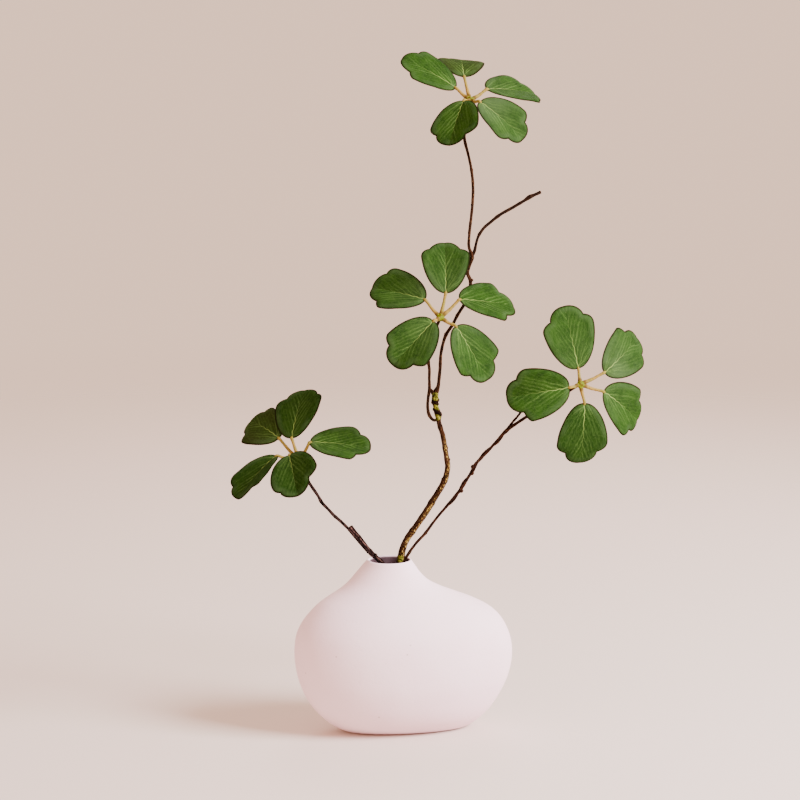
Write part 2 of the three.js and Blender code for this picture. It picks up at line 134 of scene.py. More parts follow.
class ShaderGraph:
    """A material's node tree, built from expressions on its signals."""

    def __init__(self, name: str) -> None:
        """Makes an empty material.

        Args:
            name: The material's name.
        """
        self.material = bpy.data.materials.new(name)
        self.material.use_nodes = True
        self.tree = self.material.node_tree
        self.tree.nodes.clear()

    def node(self, kind: str, settings: dict[str, str], inputs: dict[Key, Value]) -> Signal:
        """Adds a node.

        Args:
            kind: The node's type.
            settings: Its properties, set first.
            inputs: Values or signals for its sockets.

        Returns:
            The node's first output.
        """
        made = self.tree.nodes.new(kind)
        for name, value in settings.items():
            setattr(made, name, value)
        for key, value in inputs.items():
            self._feed(made.inputs[key], value)
        return Signal(self, made)

    def _feed(self, socket: NodeSocket, value: Value) -> None:
        """Links a signal to a socket, or sets the socket's own value.

        Args:
            socket: A node's input.
            value: What it is given.
        """
        if isinstance(value, Signal):
            self.tree.links.new(value.node.outputs[value.output], socket)
        elif isinstance(value, tuple) and socket.type == "RGBA":
            socket.default_value = (*value, 1.0)
        else:
            socket.default_value = value

    def math(self, operation: str, *values: Value) -> Signal:
        """The outcome of a Math node on the values."""
        return self.node("ShaderNodeMath", {"operation": operation}, dict(enumerate(values)))

    def mix(self, share: Value, first: Value, second: Value) -> Signal:
        """A colour between two, by the share of the second."""
        inputs = {0: share, MIX_A: first, MIX_B: second}
        return self.node("ShaderNodeMix", {"data_type": "RGBA"}, inputs).at(MIX_RESULT)

    def coat(self, color: Value, *coats: tuple[Value, Value]) -> Signal:
        """A colour with others laid over it.

        Args:
            color: The colour below.
            *coats: The cover and the colour of each coat, in the order that they are laid.

        Returns:
            The colour on top.
        """
        for cover, paint in coats:
            color = self.mix(cover, color, paint)
        return color

    def attribute(self, name: str) -> Signal:
        """A mesh's own vector attribute."""
        return self.node("ShaderNodeAttribute", {"attribute_name": name}, {}).at("Vector")

    def position(self) -> Signal:
        """The place on the object, in metres."""
        return self.node("ShaderNodeTexCoord", {}, {}).at("Object")

    def parts(self, vector: Signal) -> tuple[Signal, Signal, Signal]:
        """A vector's three numbers."""
        made = self.node("ShaderNodeSeparateXYZ", {}, {0: vector})
        return made, made.at(1), made.at(2)

    def vector(self, x: Value, y: Value, z: Value) -> Signal:
        """A vector of three numbers."""
        return self.node("ShaderNodeCombineXYZ", {}, {0: x, 1: y, 2: z})

    def stretch(self, vector: Signal, scale: Place) -> Signal:
        """A vector with each of its numbers scaled."""
        return self.node("ShaderNodeVectorMath", {"operation": "MULTIPLY"}, {0: vector, 1: scale})

    def near(self, place: Signal, spots: tuple[Spot, ...]) -> Signal:
        """A mask of round spots with soft edges.

        Args:
            place: The place looked at, in metres.
            spots: Each spot's middle and radius, in mm.

        Returns:
            1 in the middle of a spot and 0 outside all of them.
        """
        masks = []
        for centre, radius in spots:
            inputs = {0: place, 1: tuple(c * MM for c in centre)}
            gap = self.node("ShaderNodeVectorMath", {"operation": "DISTANCE"}, inputs).at("Value")
            masks.append(1 - gap.rise(SPOT_CORE * radius * MM, radius * MM))
        return reduce(Signal.most, masks)

    def noise(self, vector: Signal, scale: float, detail: float = 3.0, roughness: float = 0.5) -> Signal:
        """Soft noise about 0.5, with finer octaves by its detail and roughness."""
        inputs = {"Vector": vector, "Scale": scale, "Detail": detail, "Roughness": roughness}
        return self.node("ShaderNodeTexNoise", {}, inputs)

    def cells(self, vector: Signal, scale: float, kind: Cells) -> Signal:
        """A distance in a field of random cells."""
        inputs = {"Vector": vector, "Scale": scale}
        return self.node("ShaderNodeTexVoronoi", {"feature": kind.value}, inputs).at("Distance")

    def finish(self, color: Value, roughness: Value, height: Signal, depth: float, specular: float,
               alpha: Value = 1.0) -> Material:
        """Ends the graph in a Principled surface.

        Args:
            color: The base colour.
            roughness: The roughness.
            height: What the bump follows.
            depth: The bump's distance, in mm.
            specular: The specular level.
            alpha: The cover.

        Returns:
            The finished material.
        """
        bump = self.node("ShaderNodeBump", {}, {"Height": height, "Distance": depth * MM, "Strength": 1.0})
        inputs = {"Base Color": color, "Roughness": roughness, "Specular IOR Level": specular}
        inputs |= {"Alpha": alpha, "Normal": bump}
        surface = self.node("ShaderNodeBsdfPrincipled", {}, inputs)
        self.node("ShaderNodeOutputMaterial", {}, {0: surface})
        return self.material


# ---------------------------------------------------------------- curves and shells


@dataclass
class Shell:
    """A closed surface as plain points and faces, in mm."""

    points: Array
    faces: list[list[int]]


def round_angles(count: int) -> Array:
    """Even angles round a circle."""
    return np.linspace(0, TURN, count, endpoint=False)


def unit(vectors: Array) -> Array:
    """The vectors, with a length of 1."""
    return vectors / np.linalg.norm(vectors, axis=-1, keepdims=True)


def smooth_knots(knots: Array, per_span: int) -> Array:
    """A centripetal curve through knots, whose first three numbers are a place.

    Args:
        knots: One row for each knot.
        per_span: Points made between two knots.

    Returns:
        The curve's points, with every column smoothed alike.
    """
    padded = np.vstack([2 * knots[0] - knots[1], knots, 2 * knots[-1] - knots[-2]])
    gaps = np.sqrt(np.linalg.norm(np.diff(padded[:, :3], axis=0), axis=1))
    t = np.linspace(0, 1, per_span, endpoint=False)[:, None]
    spans = []
    for i in range(len(knots) - 1):
        p0, p1, p2, p3 = padded[i : i + 4]
        d0, d1, d2 = gaps[i : i + 3]
        leave = ((p1 - p0) / d0 - (p2 - p0) / (d0 + d1) + (p2 - p1) / d1) * d1
        reach = ((p2 - p1) / d1 - (p3 - p1) / (d1 + d2) + (p3 - p2) / d2) * d1
        bend = 3 * (p2 - p1) - 2 * leave - reach
        twist = 2 * (p1 - p2) + leave + reach
        spans.append(p1 + leave * t + bend * t**2 + twist * t**3)
    return np.vstack([*spans, knots[-1:]])


class Path:
    """A curve at even steps, with a frame that doesn't twist about it."""

    def __init__(self, knots: list[Knot], spacing: float) -> None:
        """Lays a smooth curve through the knots.

        Args:
            knots: Places along it with the radius there.
            spacing: The step along it, in mm.
        """
        fine = smooth_knots(np.array(knots, dtype=float), CURVE_STEPS)
        run = np.concatenate([[0], np.cumsum(np.linalg.norm(np.diff(fine[:, :3], axis=0), axis=1))])
        self.length = float(run[-1])
        self.run = np.linspace(0, self.length, max(3, round(self.length / spacing) + 1))
        columns = [np.interp(self.run, run, fine[:, c]) for c in range(4)]
        self.middles = np.stack(columns[:3], axis=1)
        self.radii = columns[3]
        self.tangents = unit(np.gradient(self.middles, axis=0))
        self._carry_normals()

    def _carry_normals(self) -> None:
        """Carries one normal along the curve without twist."""
        helper = np.eye(3)[np.argmin(np.abs(self.tangents[0]))]
        normal = np.cross(self.tangents[0], np.cross(self.tangents[0], helper))
        normals = []
        for tangent in self.tangents:
            normal = unit(normal - tangent * (normal @ tangent))
            normals.append(normal)
        self.normals = np.array(normals)
        self.binormals = np.cross(self.tangents, self.normals)

    def out(self, station: int, angle: float) -> Array:
        """The direction away from the curve at a station, turned by an angle."""
        return self.normals[station] * math.cos(angle) + self.binormals[station] * math.sin(angle)

    def tube(self, sides: int) -> Shell:
        """The round shell about the curve, with slightly domed ends.

        Args:
            sides: How many sides it has.

        Returns:
            The shell.
        """
        angles = round_angles(sides)[:, None]
        across = self.normals[:, None] * np.cos(angles) + self.binormals[:, None] * np.sin(angles)
        rings = self.middles[:, None] + across * self.radii[:, None, None]
        domes = self.tangents * self.radii[:, None] * DOME
        return loft(rings, self.middles[0] - domes[0], self.middles[-1] + domes[-1])


def loft(rings: Array, start: Array, end: Array) -> Shell:
    """A closed shell over rings of equal size.

    Args:
        rings: An array of rings, points and coordinates.
        start: The point that closes the first ring.
        end: The point that closes the last ring.

    Returns:
        The shell.
    """
    count, sides = rings.shape[:2]
    index = np.arange(count * sides).reshape(count, sides)
    after = np.roll(index, -1, axis=1)
    walls = np.stack([index[:-1], after[:-1], after[1:], index[1:]], axis=-1).reshape(-1, 4)
    pole = np.full(sides, count * sides)
    fans = [(pole, after[0], index[0]), (pole + 1, index[-1], after[-1])]
    faces = walls.tolist() + np.hstack([np.stack(fan) for fan in fans]).T.tolist()
    return Shell(np.vstack([rings.reshape(-1, 3), start, end]), faces)


def ball(centre: Array | Place, radius: float, squash: float = 1.0) -> Shell:
    """A round shell.

    Args:
        centre: Its middle.
        radius: Its radius.
        squash: Its height over its width.

    Returns:
        The shell.
    """
    rows, sides = BALL_SIZE
    rings = radius * np.array([
        [(math.cos(t) * math.cos(a), math.cos(t) * math.sin(a), math.sin(t) * squash)
         for a in round_angles(sides)]
        for t in np.linspace(-np.pi / 2, np.pi / 2, rows)[1:-1]
    ])
    middle = np.array(centre, dtype=float)
    pole = np.array([0, 0, radius * squash])
    return loft(rings + middle, middle - pole, middle + pole)


def add_object(name: str, data: ID) -> Object:
    """Links a new object to the scene.

    Args:
        name: Its name.
        data: Its mesh, light or camera.

    Returns:
        The object.
    """
    made = bpy.data.objects.new(name, data)
    bpy.context.scene.collection.objects.link(made)
    return made


def make_object(name: str, shells: list[Shell]) -> Object:
    """A mesh object of one or more shells, in metres.

    Args:
        name: The piece's name.
        shells: What it is made of.

    Returns:
        The object, linked to the scene.
    """
    points = np.vstack([shell.points for shell in shells]) * MM
    faces = []
    start = 0
    for shell in shells:
        faces += [[start + i for i in face] for face in shell.faces]
        start += len(shell.points)
    mesh = bpy.data.meshes.new(name)
    mesh.from_pydata(points.tolist(), [], faces)
    mesh.update()
    return add_object(name, mesh)


def weld(piece: Object, voxel: float) -> None:
    """Turns overlapping shells into one skin.

    Args:
        piece: The object, whose mesh is replaced.
        voxel: The new skin's fineness, in mm.
    """
    modifier = piece.modifiers.new("weld", "REMESH")
    modifier.mode = "VOXEL"
    modifier.voxel_size = voxel * MM
    graph = bpy.context.evaluated_depsgraph_get()
    skin = bpy.data.meshes.new_from_object(piece.evaluated_get(graph))
    piece.modifiers.clear()
    old = piece.data
    piece.data = skin
    bpy.data.meshes.remove(old)
    skin.name = piece.name


def read_points(mesh: Mesh) -> tuple[Array, Array]:
    """The points of a mesh in mm, and their normals.

    Args:
        mesh: The mesh.

    Returns:
        Rows of places and rows of directions.
    """
    points, normals = np.empty((2, len(mesh.vertices) * 3))
    mesh.vertices.foreach_get("co", points)
    mesh.vertices.foreach_get("normal", normals)
    return points.reshape(-1, 3) / MM, normals.reshape(-1, 3)


def write_points(mesh: Mesh, points: Array) -> None:
    """Moves a mesh's points to places in mm."""
    mesh.vertices.foreach_set("co", (points * MM).ravel())
    mesh.update()


def write_attribute(mesh: Mesh, name: str, *columns: Array | float) -> None:
    """Stores up to three numbers at each point of a mesh.

    Args:
        mesh: The mesh.
        name: The attribute's name, which its finish reads.
        *columns: The numbers, each a column or one value for all points.
    """
    values = np.zeros((len(mesh.vertices), 3))
    for index, column in enumerate(columns):
        values[:, index] = column
    made = mesh.attributes.new(name, "FLOAT_VECTOR", "POINT")
    made.data.foreach_set("vector", values.ravel())


def find_nearest(targets: Array, points: Array) -> tuple[Array, Array]:
    """The target that each point is nearest to.

    Args:
        targets: Rows of places.
        points: Rows of places.

    Returns:
        The targets' row numbers, and how far off they are.
    """
    tree = kdtree.KDTree(len(targets))
    for index, target in enumerate(targets):
        tree.insert(target, index)
    tree.balance()
    found = np.array([tree.find(point)[1:] for point in points])
    return found[:, 0].astype(int), found[:, 1]


def lumps(points: Array, scale: float | Place) -> Array:
    """Soft noise between -1 and 1 at each point, finer with its scale."""
    return np.array([noise.noise(Vector(point)) for point in points * scale])


def hand_over(piece: Object, node: str, material: Material) -> None:
    """Gives a piece its finish and its place in the frame.

    Args:
        piece: The piece.
        node: The CAD node that it stands for.
        material: Its finish.
    """
    piece.data.materials.clear()
    piece.data.materials.append(material)
    piece.data.polygons.foreach_set("use_smooth", [True] * len(piece.data.polygons))
    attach(piece, "root")
    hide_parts(node)
    log.info("%s: %d faces", piece.name, len(piece.data.polygons))


# ---------------------------------------------------------------- finishes


@dataclass(frozen=True)
class BisqueFinish:
    """Unglazed pinkish-white ceramic, dry and faintly mottled, with painted shade on its inner wall below the
    lip.
    """

    light: Color = (0.960, 0.730, 0.775)
    cloud: Color = (0.900, 0.655, 0.710)
    fleck: Color = (0.36, 0.23, 0.20)
    # inside: painted shade for the inner wall, darkest just below the lip
    inside: Color = (0.070, 0.036, 0.043)
    roughness: float = 0.82
    specular: float = 0.3
    bump: float = 0.12

    def material(self) -> Material:
        """Builds the ceramic.

        Returns:
            The finished material.
        """
        g = ShaderGraph("matt_bisque")
        place = g.position()
        clouds = g.noise(place, 14, 4, 0.55).rise(0.3, 0.72)
        grain = g.noise(place, 900, 3, 0.6)
        pores = g.cells(place, 260, Cells.POINT).rise(0.0, 0.5)
        flecks = 1 - g.cells(place, 95, Cells.POINT).rise(0.05, 0.10)
        hollow, depth, _ = g.parts(g.attribute("wall"))
        color = g.coat(
            self.light,
            (clouds, self.cloud),
            (flecks * g.noise(place, 55, 1).rise(0.56, 0.66) * 0.5, self.fleck),
            ((grain - 0.5) * 0.16 + 0.04, self.cloud),
            # painted shade on the inner wall, eased partly back towards cloud further down
            (hollow, g.mix(depth, self.inside, self.cloud)),
        )
        height = grain * 0.5 + pores * 0.35 + g.noise(place, 60, 2) * 1.2
        roughness = self.roughness + (grain - 0.5) * 0.2
        return g.finish(color, roughness, height, self.bump, self.specular)


@dataclass(frozen=True)
class BarkFinish:
    """Dry bark: dark ridges and paler lenticels, painted shade along each stem's flanks and where two stems
    meet.

    Where given: a pale line of painted highlight along the front and back of each stem, moss, and lichen
    streaks that lie only on faces towards or away from the key light, so partly painted highlight.
    """

    name: str
    deep: Color = (0.0036, 0.0009, 0.0004)
    skin: Color = (0.029, 0.0082, 0.0034)
    pale: Color = (0.165, 0.088, 0.038)
    moss: Color = (0.270, 0.250, 0.030)
    moss_dark: Color = (0.030, 0.034, 0.002)
    ochre: Color = (0.092, 0.050, 0.011)
    streak_highlight: Color = (0.56, 0.39, 0.095)
    cut_wood: Color = (0.085, 0.042, 0.022)
    mossy: tuple[Spot, ...] = ()
    streaked: tuple[Spot, ...] = ()
    specks: float = 0.55
    # how strongly the pale line of painted highlight is laid
    painted_highlight: float = 0.0
    roughness: float = 0.68
    specular: float = 0.03
    bump: float = 0.3

    def material(self) -> Material:
        """Builds the bark.

        Returns:
            The finished material.
        """
        g = ShaderGraph(self.name)
        place = g.position()
        grain = g.attribute("grain")
        cut, crease_and_shade, bare = g.parts(g.attribute("state"))
        x, y, _ = g.parts(g.node("ShaderNodeNewGeometry", {}, {}).at("Normal"))
        fibres = g.noise(g.stretch(grain, (0.9, 0.9, 0.16)), 1.6, 4, 0.62)
        blotches = g.noise(g.stretch(grain, (0.5, 0.5, 0.12)), 1.0, 2, 0.5)
        fine = g.noise(g.stretch(grain, (1.0, 1.0, 0.5)), 5.0, 3, 0.6)
        lenticels = 1 - g.cells(g.stretch(grain, (0.55, 0.55, 0.28)), 1.1, Cells.POINT).rise(0.12, 0.30)
        main_stem = 1 - g.parts(grain)[2].rise(1.9 * STEM_OFFSET, 1.99 * STEM_OFFSET)
        # painted highlight: a pale line along the front and back of each stem, fainter on every stem but the
        # first
        painted_highlight = abs(y).rise(0.80, 0.99) * fibres.rise(0.48, 0.58) * (main_stem * 0.75 + 0.25) * self.painted_highlight
        color = g.coat(
            self.deep,
            (fibres.rise(0.38, 0.60), self.skin),
            (blotches.rise(0.45, 0.75) * 0.55, self.deep),
            (lenticels * self.specks * fine.rise(0.35, 0.6), self.pale),
            (fine.rise(0.58, 0.78) * self.specks * 0.6, self.pale),
            # painted shade along each stem's flanks, where its normal turns away from the front and the back
            ((1 - abs(y).rise(0.35, 0.88)) * 0.65, self.deep),
            (painted_highlight, self.pale),
        )
        height = fibres + fine * 0.45 + lenticels * 0.5
        # lichen streaks laid only where the surface faces towards or straight away from the key light: partly
        # the lichen's colour, partly painted highlight
        if self.streaked:
            patch = g.near(place, self.streaked)
            streak = g.noise(g.stretch(grain, (0.7, 0.7, 0.14)), 1.5, 2, 0.5).rise(0.44, 0.55)
            beads = g.noise(g.stretch(grain, (0.9, 0.9, 0.45)), 1.7, 3, 0.6)
            lit_side = abs(x * 0.70 - y * 0.60).rise(0.16, 0.52) * abs(y).rise(0.60, 0.90)
            cover = patch * streak * lit_side
            color = g.coat(
                color,
                (cover * beads.rise(0.45, 0.52) * 0.85, self.ochre),
                (cover * beads.rise(0.535, 0.59), self.streak_highlight),
                (patch * beads.rise(0.58, 0.68) * 0.6, self.pale),
            )
        if self.mossy:
            tuft = g.noise(place, 900, 4, 0.65)
            growth = g.near(place, self.mossy) * 1.25 + g.noise(place, 260, 3) - 0.95
            cover = growth.rise(-0.05, 0.18) * (1 - bare)
            color = g.mix(cover, color, g.mix(tuft.rise(0.43, 0.60), self.moss_dark, self.moss))
            height = height + cover * tuft * 1.6
        color = g.coat(
            color,
            (bare * (0.95 - fibres * 0.6), self.deep),
            # painted shade where two stems meet
            (crease_and_shade * 0.9, self.deep),
            (cut, self.cut_wood),
        )
        roughness = self.roughness + fibres * 0.3
        return g.finish(color, roughness, height, self.bump, self.specular)


@dataclass(frozen=True)
class StalkFinish:
    """Smooth ochre-tan stalks on a yellow-green boss with a brown collar."""

    tan: Color = (0.265, 0.170, 0.034)
    green: Color = (0.200, 0.168, 0.026)
    boss: Color = (0.112, 0.142, 0.002)
    collar: Color = (0.075, 0.036, 0.004)
    roughness: float = 0.6
    specular: float = 0.08
    bump: float = 0.12

    def material(self) -> Material:
        """Builds the stalks' skin.

        Returns:
            The finished material.
        """
        g = ShaderGraph("stalk_skin")
        share, from_boss, _ = g.parts(g.attribute("stalk"))
        place = g.position()
        grain = g.noise(place, 420, 3, 0.6)
        collar = from_boss.rise(2.9, 3.8) * (1 - from_boss.rise(4.4, 6.4))
        heart = 1 - (from_boss + grain * 0.8).rise(3.5, 4.4)
        color = g.coat(
            self.tan,
            (g.noise(place, 160, 2).rise(0.4, 0.7), self.green),
            (share.rise(0.72, 1.0) * 0.6, self.green),
            (collar * 0.8, self.collar),
            (heart, g.mix(grain.rise(0.48, 0.62) * 0.75, self.boss, self.collar)),
            (grain.rise(0.6, 0.8) * 0.35, self.collar),
        )
        height = grain + g.noise(place, 1500, 2) * 0.3
        return g.finish(color, self.roughness, height, self.bump, self.specular)


@dataclass(frozen=True)
class VeinPattern:
    """The lines of a blade's veins, in shares of its length: used for its mesh and for its finish alike."""

    rise: float = 2.0
    curl: float = 1.0
    spacing: float = 0.14
    stagger: float = 0.25
    fan: float = 3.0

    def count(self, along: Array, across: Array) -> Array:
        """Which side vein a point lies on, whole on the veins themselves.

        Args:
            along: Shares of the length from the foot.
            across: Signed distances from the midrib.

        Returns:
            The running number.
        """
        out = np.abs(across)
        run = self.rise * out + self.curl * out**2
        shifted = along + np.sign(across) * self.stagger * self.spacing
        beyond = np.maximum(shifted - run, 0) / self.spacing
        return beyond + self.fan * np.minimum(shifted / np.maximum(run, 1e-3) - 1, 0)

    def signals(self, g: ShaderGraph, along: Signal, across: Signal) -> tuple[Signal, Signal]:
        """The same running number in a finish, and the distance from vein to vein there.

        Args:
            g: The graph.
            along: Shares of the length from the foot.
            across: Signed distances from the midrib.

        Returns:
            The running number and the width of one step of it.
        """
        out = abs(across)
        run = (out * self.rise + out * out * self.curl).most(0.001)
        shifted = along + across.sign() * (self.stagger * self.spacing)
        past = shifted - run
        number = past.most(0.0) / self.spacing + (shifted / run - 1).least(0.0) * self.fan
        slope = out * (2 * self.curl) + self.rise
        steep = (slope * slope + 1).root()
        step = past.rise(-0.02, 0.02)
        width = (step * self.spacing + (1 - step) * run / self.fan) / steep
        return number, width


@dataclass(frozen=True)
class LeafFinish:
    """A leathery leaflet: mottled green with pale veins, dark at its margin and duller below; its tone lays
    on painted sheen, painted shade or age brown.
    """

    veins: VeinPattern
    dark: Color = (0.0064, 0.0212, 0.0025)
    green: Color = (0.0116, 0.0366, 0.0030)
    fresh: Color = (0.0175, 0.0505, 0.0045)
    # the pale grey-green of painted sheen, laid by tone near the foot and just inside the margin
    sheen_color: Color = (0.0470, 0.0810, 0.0290)
    brown: Color = (0.0190, 0.0220, 0.0050)
    vein: Color = (0.088, 0.155, 0.036)
    vein_bright: Color = (0.185, 0.265, 0.062)
    margin: Color = (0.0070, 0.0045, 0.0012)
    below: Color = (0.0310, 0.0630, 0.0140)
    below_vein: Color = (0.085, 0.125, 0.036)
    roughness: float = 0.70
    specular: float = 0.015
    bump: float = 0.05

    def material(self) -> Material:
        """Builds the blade: first where its veins run, then its green, its upper face and its underside.

        Returns:
            The finished material.
        """
        g = ShaderGraph("leaf_blade")
        along, across, side = g.parts(g.attribute("blade"))
        margin, tone, seed = g.parts(g.attribute("growth"))
        out = abs(across)
        # shade: below 0 the tone paints shade first, then turns the leaflet brown with age
        shade = 0.0 - tone
        sheet = g.vector(along, across, seed)
        mottle = g.noise(sheet, 16, 4, 0.6)
        blotch = g.noise(sheet, 4.5, 2)

        wander = g.noise(g.vector(across, along, seed), 7, 2)
        along_now = along + (g.noise(sheet, 7, 2) - 0.5) * 0.10
        number, step = self.veins.signals(g, along_now, across + (wander - 0.5) * 0.03)
        near_rib = 1 - out.rise(0.0, 0.2)
        side_vein = 1 - (number.swing(0.5) * step - near_rib * 0.0016).rise(0.0006, 0.0068)
        fine_vein = 1 - ((number * 2.0 + 0.5).swing(0.5) * step * 0.5).rise(0.0006, 0.0050)
        rib_half = (1 - along).most(0.0) * 0.0054 + 0.0014
        half_step = self.veins.spacing / 2
        kink = ((along_now + half_step / 2).swing(half_step) - half_step / 2) * 0.22
        rib = 1 - abs(across + kink + (wander - 0.5) * 0.012).rise(rib_half * 0.4, rib_half * 1.7)
        rib = rib * (1 - along.rise(0.45, 0.82) * 0.9)
        net = g.cells(g.vector(number * 2.4, out * 34.0, seed), 1.0, Cells.EDGE)
        net_line = 1 - net.rise(0.02, 0.16)

        # painted shade for a shaded tone, gone again as the tone turns to age brown
        deep = shade.rise(0.0, 0.5) * (1 - shade.rise(0.5, 0.8))
        each_vein = g.vector(number.whole() * 5.3, across.sign() * 2.7, seed)
        strength = (1 - out.rise(0.14, 0.40) * 0.75) * (1 - along.rise(0.6, 0.98) * 0.6)
        strength = strength * (blotch.rise(0.3, 0.62) * 0.5 + 0.5)
        strength = strength * (g.noise(each_vein, 1.0, 0).rise(0.36, 0.60) * 0.75 + 0.25)
        strength = strength * (g.noise(sheet, 48, 2, 0.6).rise(0.36, 0.56) * 0.6 + 0.4)
        # veins fainter under painted shade
        strength = strength * (1 - deep * 0.35)

        # where the painted sheen of a sheened tone lies: most near the foot, in blotches
        sheen = (1 - along.rise(0.05, 0.7) * 0.8) * (blotch.rise(0.3, 0.6) * 0.5 + 0.5)
        # painted sheen in a broken ring just inside the margin
        margin_sheen = margin.rise(0.6, 2.0) * (1 - margin.rise(2.2, 6.5)) * g.noise(sheet, 3.2, 1).rise(0.35, 0.65)
        above = g.coat(
            self.dark,
            (mottle.rise(0.2, 0.7), self.green),
            (blotch.rise(0.40, 0.68) * 0.6, self.fresh),
            # painted sheen by tone
            (tone.rise(0.0, 1.0) * sheen, self.sheen_color),
            # painted shade
            (deep * 0.7, self.dark),
            (shade.rise(0.5, 0.8) * (out.rise(0.0, 0.4) * 0.35 + 0.45), self.brown),
            (net_line * 0.12, self.vein),
            (fine_vein * strength * 0.35, self.vein),
            (side_vein * strength * (near_rib * 0.45 + 0.55), self.vein),
            (rib * (1 - along.rise(0.15, 0.6) * 0.7) * 0.9, self.vein_bright),
            # painted sheen just inside the margin
            (margin_sheen * 0.4, self.sheen_color),
            ((1 - margin.rise(0.25, 1.5)) * 0.92, self.margin),
        )
        under_line = (side_vein * (strength * 0.6 + 0.3)).most(rib).most(net_line * 0.35)
        below = g.coat(self.below, (mottle * 0.4, self.green), (under_line * 0.55, self.below_vein))

        relief = (1 - side_vein * 0.9) * (1 - rib) * 0.9 + (1 - net_line) * 0.12 + mottle * 0.15
        roughness = self.roughness + (mottle - 0.5) * 0.1 + (1 - side) * 0.25 + shade.most(0.0) * 0.3
        color = g.mix(side.rise(0.3, 0.7), below, above)
        return g.finish(color, roughness, relief * (side * 2 - 1), self.bump, self.specular)


# ---------------------------------------------------------------- vase


@dataclass
class Vase:
    """The low asymmetric bottle: level sections of [height, left edge, right edge, half depth].

    Its skin grows uneven above the foot and even again towards the lip, each over a start and a reach. The
    inside carries painted shade below the lip, which eases partly back to the ceramic's own colour further
    down.
    """

    outside: tuple[Knot, ...] = (
        (0, -50, 42, 15.5), (1.2, -54, 45.5, 19), (5, -62, 52, 25.5), (12, -71, 60, 33),
        (20, -78.5, 66.8, 38), (30, -85, 73, 41.8), (42, -90, 78.3, 44.8), (56, -93, 81.3, 46),
        (69, -93.5, 80.8, 45.8), (80, -92, 77.5, 44.3), (89, -88, 72.5, 41.5), (97, -82, 64.5, 37.3),
        (104.5, -74.3, 51, 32), (110.5, -65.5, 36, 27), (116, -57, 22.7, 22.6), (121.5, -50.6, 13, 19.8),
        (128, -44.9, 6.6, 18), (133.5, -40, 2.9, 17), (137, -36.8, 0.4, 16.5), (138.2, -35.6, -0.2, 16.1),
        (138.5, -34.5, -0.9, 15.6), (138.1, -33.5, -1.5, 15.1),
    )
    inside: tuple[Knot, ...] = (
        (136, -32.8, -1.9, 14.6), (129, -33.6, -1.2, 14.1), (123, -37.5, 1.2, 14.6), (117, -44.5, 7.5, 16.5),
        (109, -56, 22, 20.5), (101, -69, 43, 27), (93, -78, 59.5, 33), (82, -85.5, 70.5, 38.5),
        (62, -88.5, 76.5, 41.5), (40, -84, 73, 39.5), (22, -74.5, 64.5, 34), (12, -64, 54.5, 27.5),
        (7, -50, 42, 16),
    )
    sides: int = 160
    per_span: int = 5
    unevenness: float = 0.16
    lump: float = 26.0
    even_foot: tuple[float, float] = (1.0, 12.0)
    even_lip: tuple[float, float] = (137.0, 10.0)
    # lip_shade is where the painted shade inside begins and where it is full; lit_from, lit_over and
    # lit_share say where, over what height and how far it eases back towards the ceramic's colour further
    # down
    lip_shade: tuple[float, float] = (138.2, 137.2)
    lit_from: float = 128.0
    lit_over: float = 30.0
    lit_share: float = 0.6
    sharp_angle: float = 50.0

    def build(self) -> Object:
        """The hollow vase with a slightly uneven hand-made skin.

        Returns:
            The piece.
        """
        sections = smooth_knots(
            np.array([(left, right, z, half) for z, left, right, half in self.outside + self.inside]),
            self.per_span,
        )
        left, right, heights, halves = sections.T[..., None]
        angles = round_angles(self.sides)
        across = (left + right) / 2 + (right - left) / 2 * np.cos(angles)
        rings = np.stack([across, halves * np.sin(angles), heights + 0 * angles], axis=-1)
        piece = make_object("bisque_vase", [loft(rings, rings[0].mean(axis=0), rings[-1].mean(axis=0))])
        points, normals = read_points(piece.data)
        z = points[:, 2]
        foot, foot_over = self.even_foot
        lip, lip_over = self.even_lip
        swell = lumps(points, 1 / self.lump) * np.clip((z - foot) / foot_over, 0, 1)
        swell *= np.clip((lip - z) / lip_over, 0, 1)
        write_points(piece.data, points + normals * (swell * self.unevenness)[:, None])
        # painted shade on the inner wall: its share at each point, and how far it eases back deeper down
        within = np.zeros(len(points))
        first = (len(self.outside) - 1) * self.per_span * self.sides
        top, deep = self.lip_shade
        within[first:] = np.clip((top - z[first:]) / (top - deep), 0, 1)
        within[-2] = 0  # the point that closes the foot
        depth = np.clip((self.lit_from - z) / self.lit_over, 0, 1) * self.lit_share
        write_attribute(piece.data, "wall", within, depth)
        return piece

    def dress(self, piece: Object, material: Material) -> None:
        """Gives the vase its finish."""
        hand_over(piece, "vase", material)
        piece.data.set_sharp_from_angle(angle=math.radians(self.sharp_angle))


# ---------------------------------------------------------------- branches


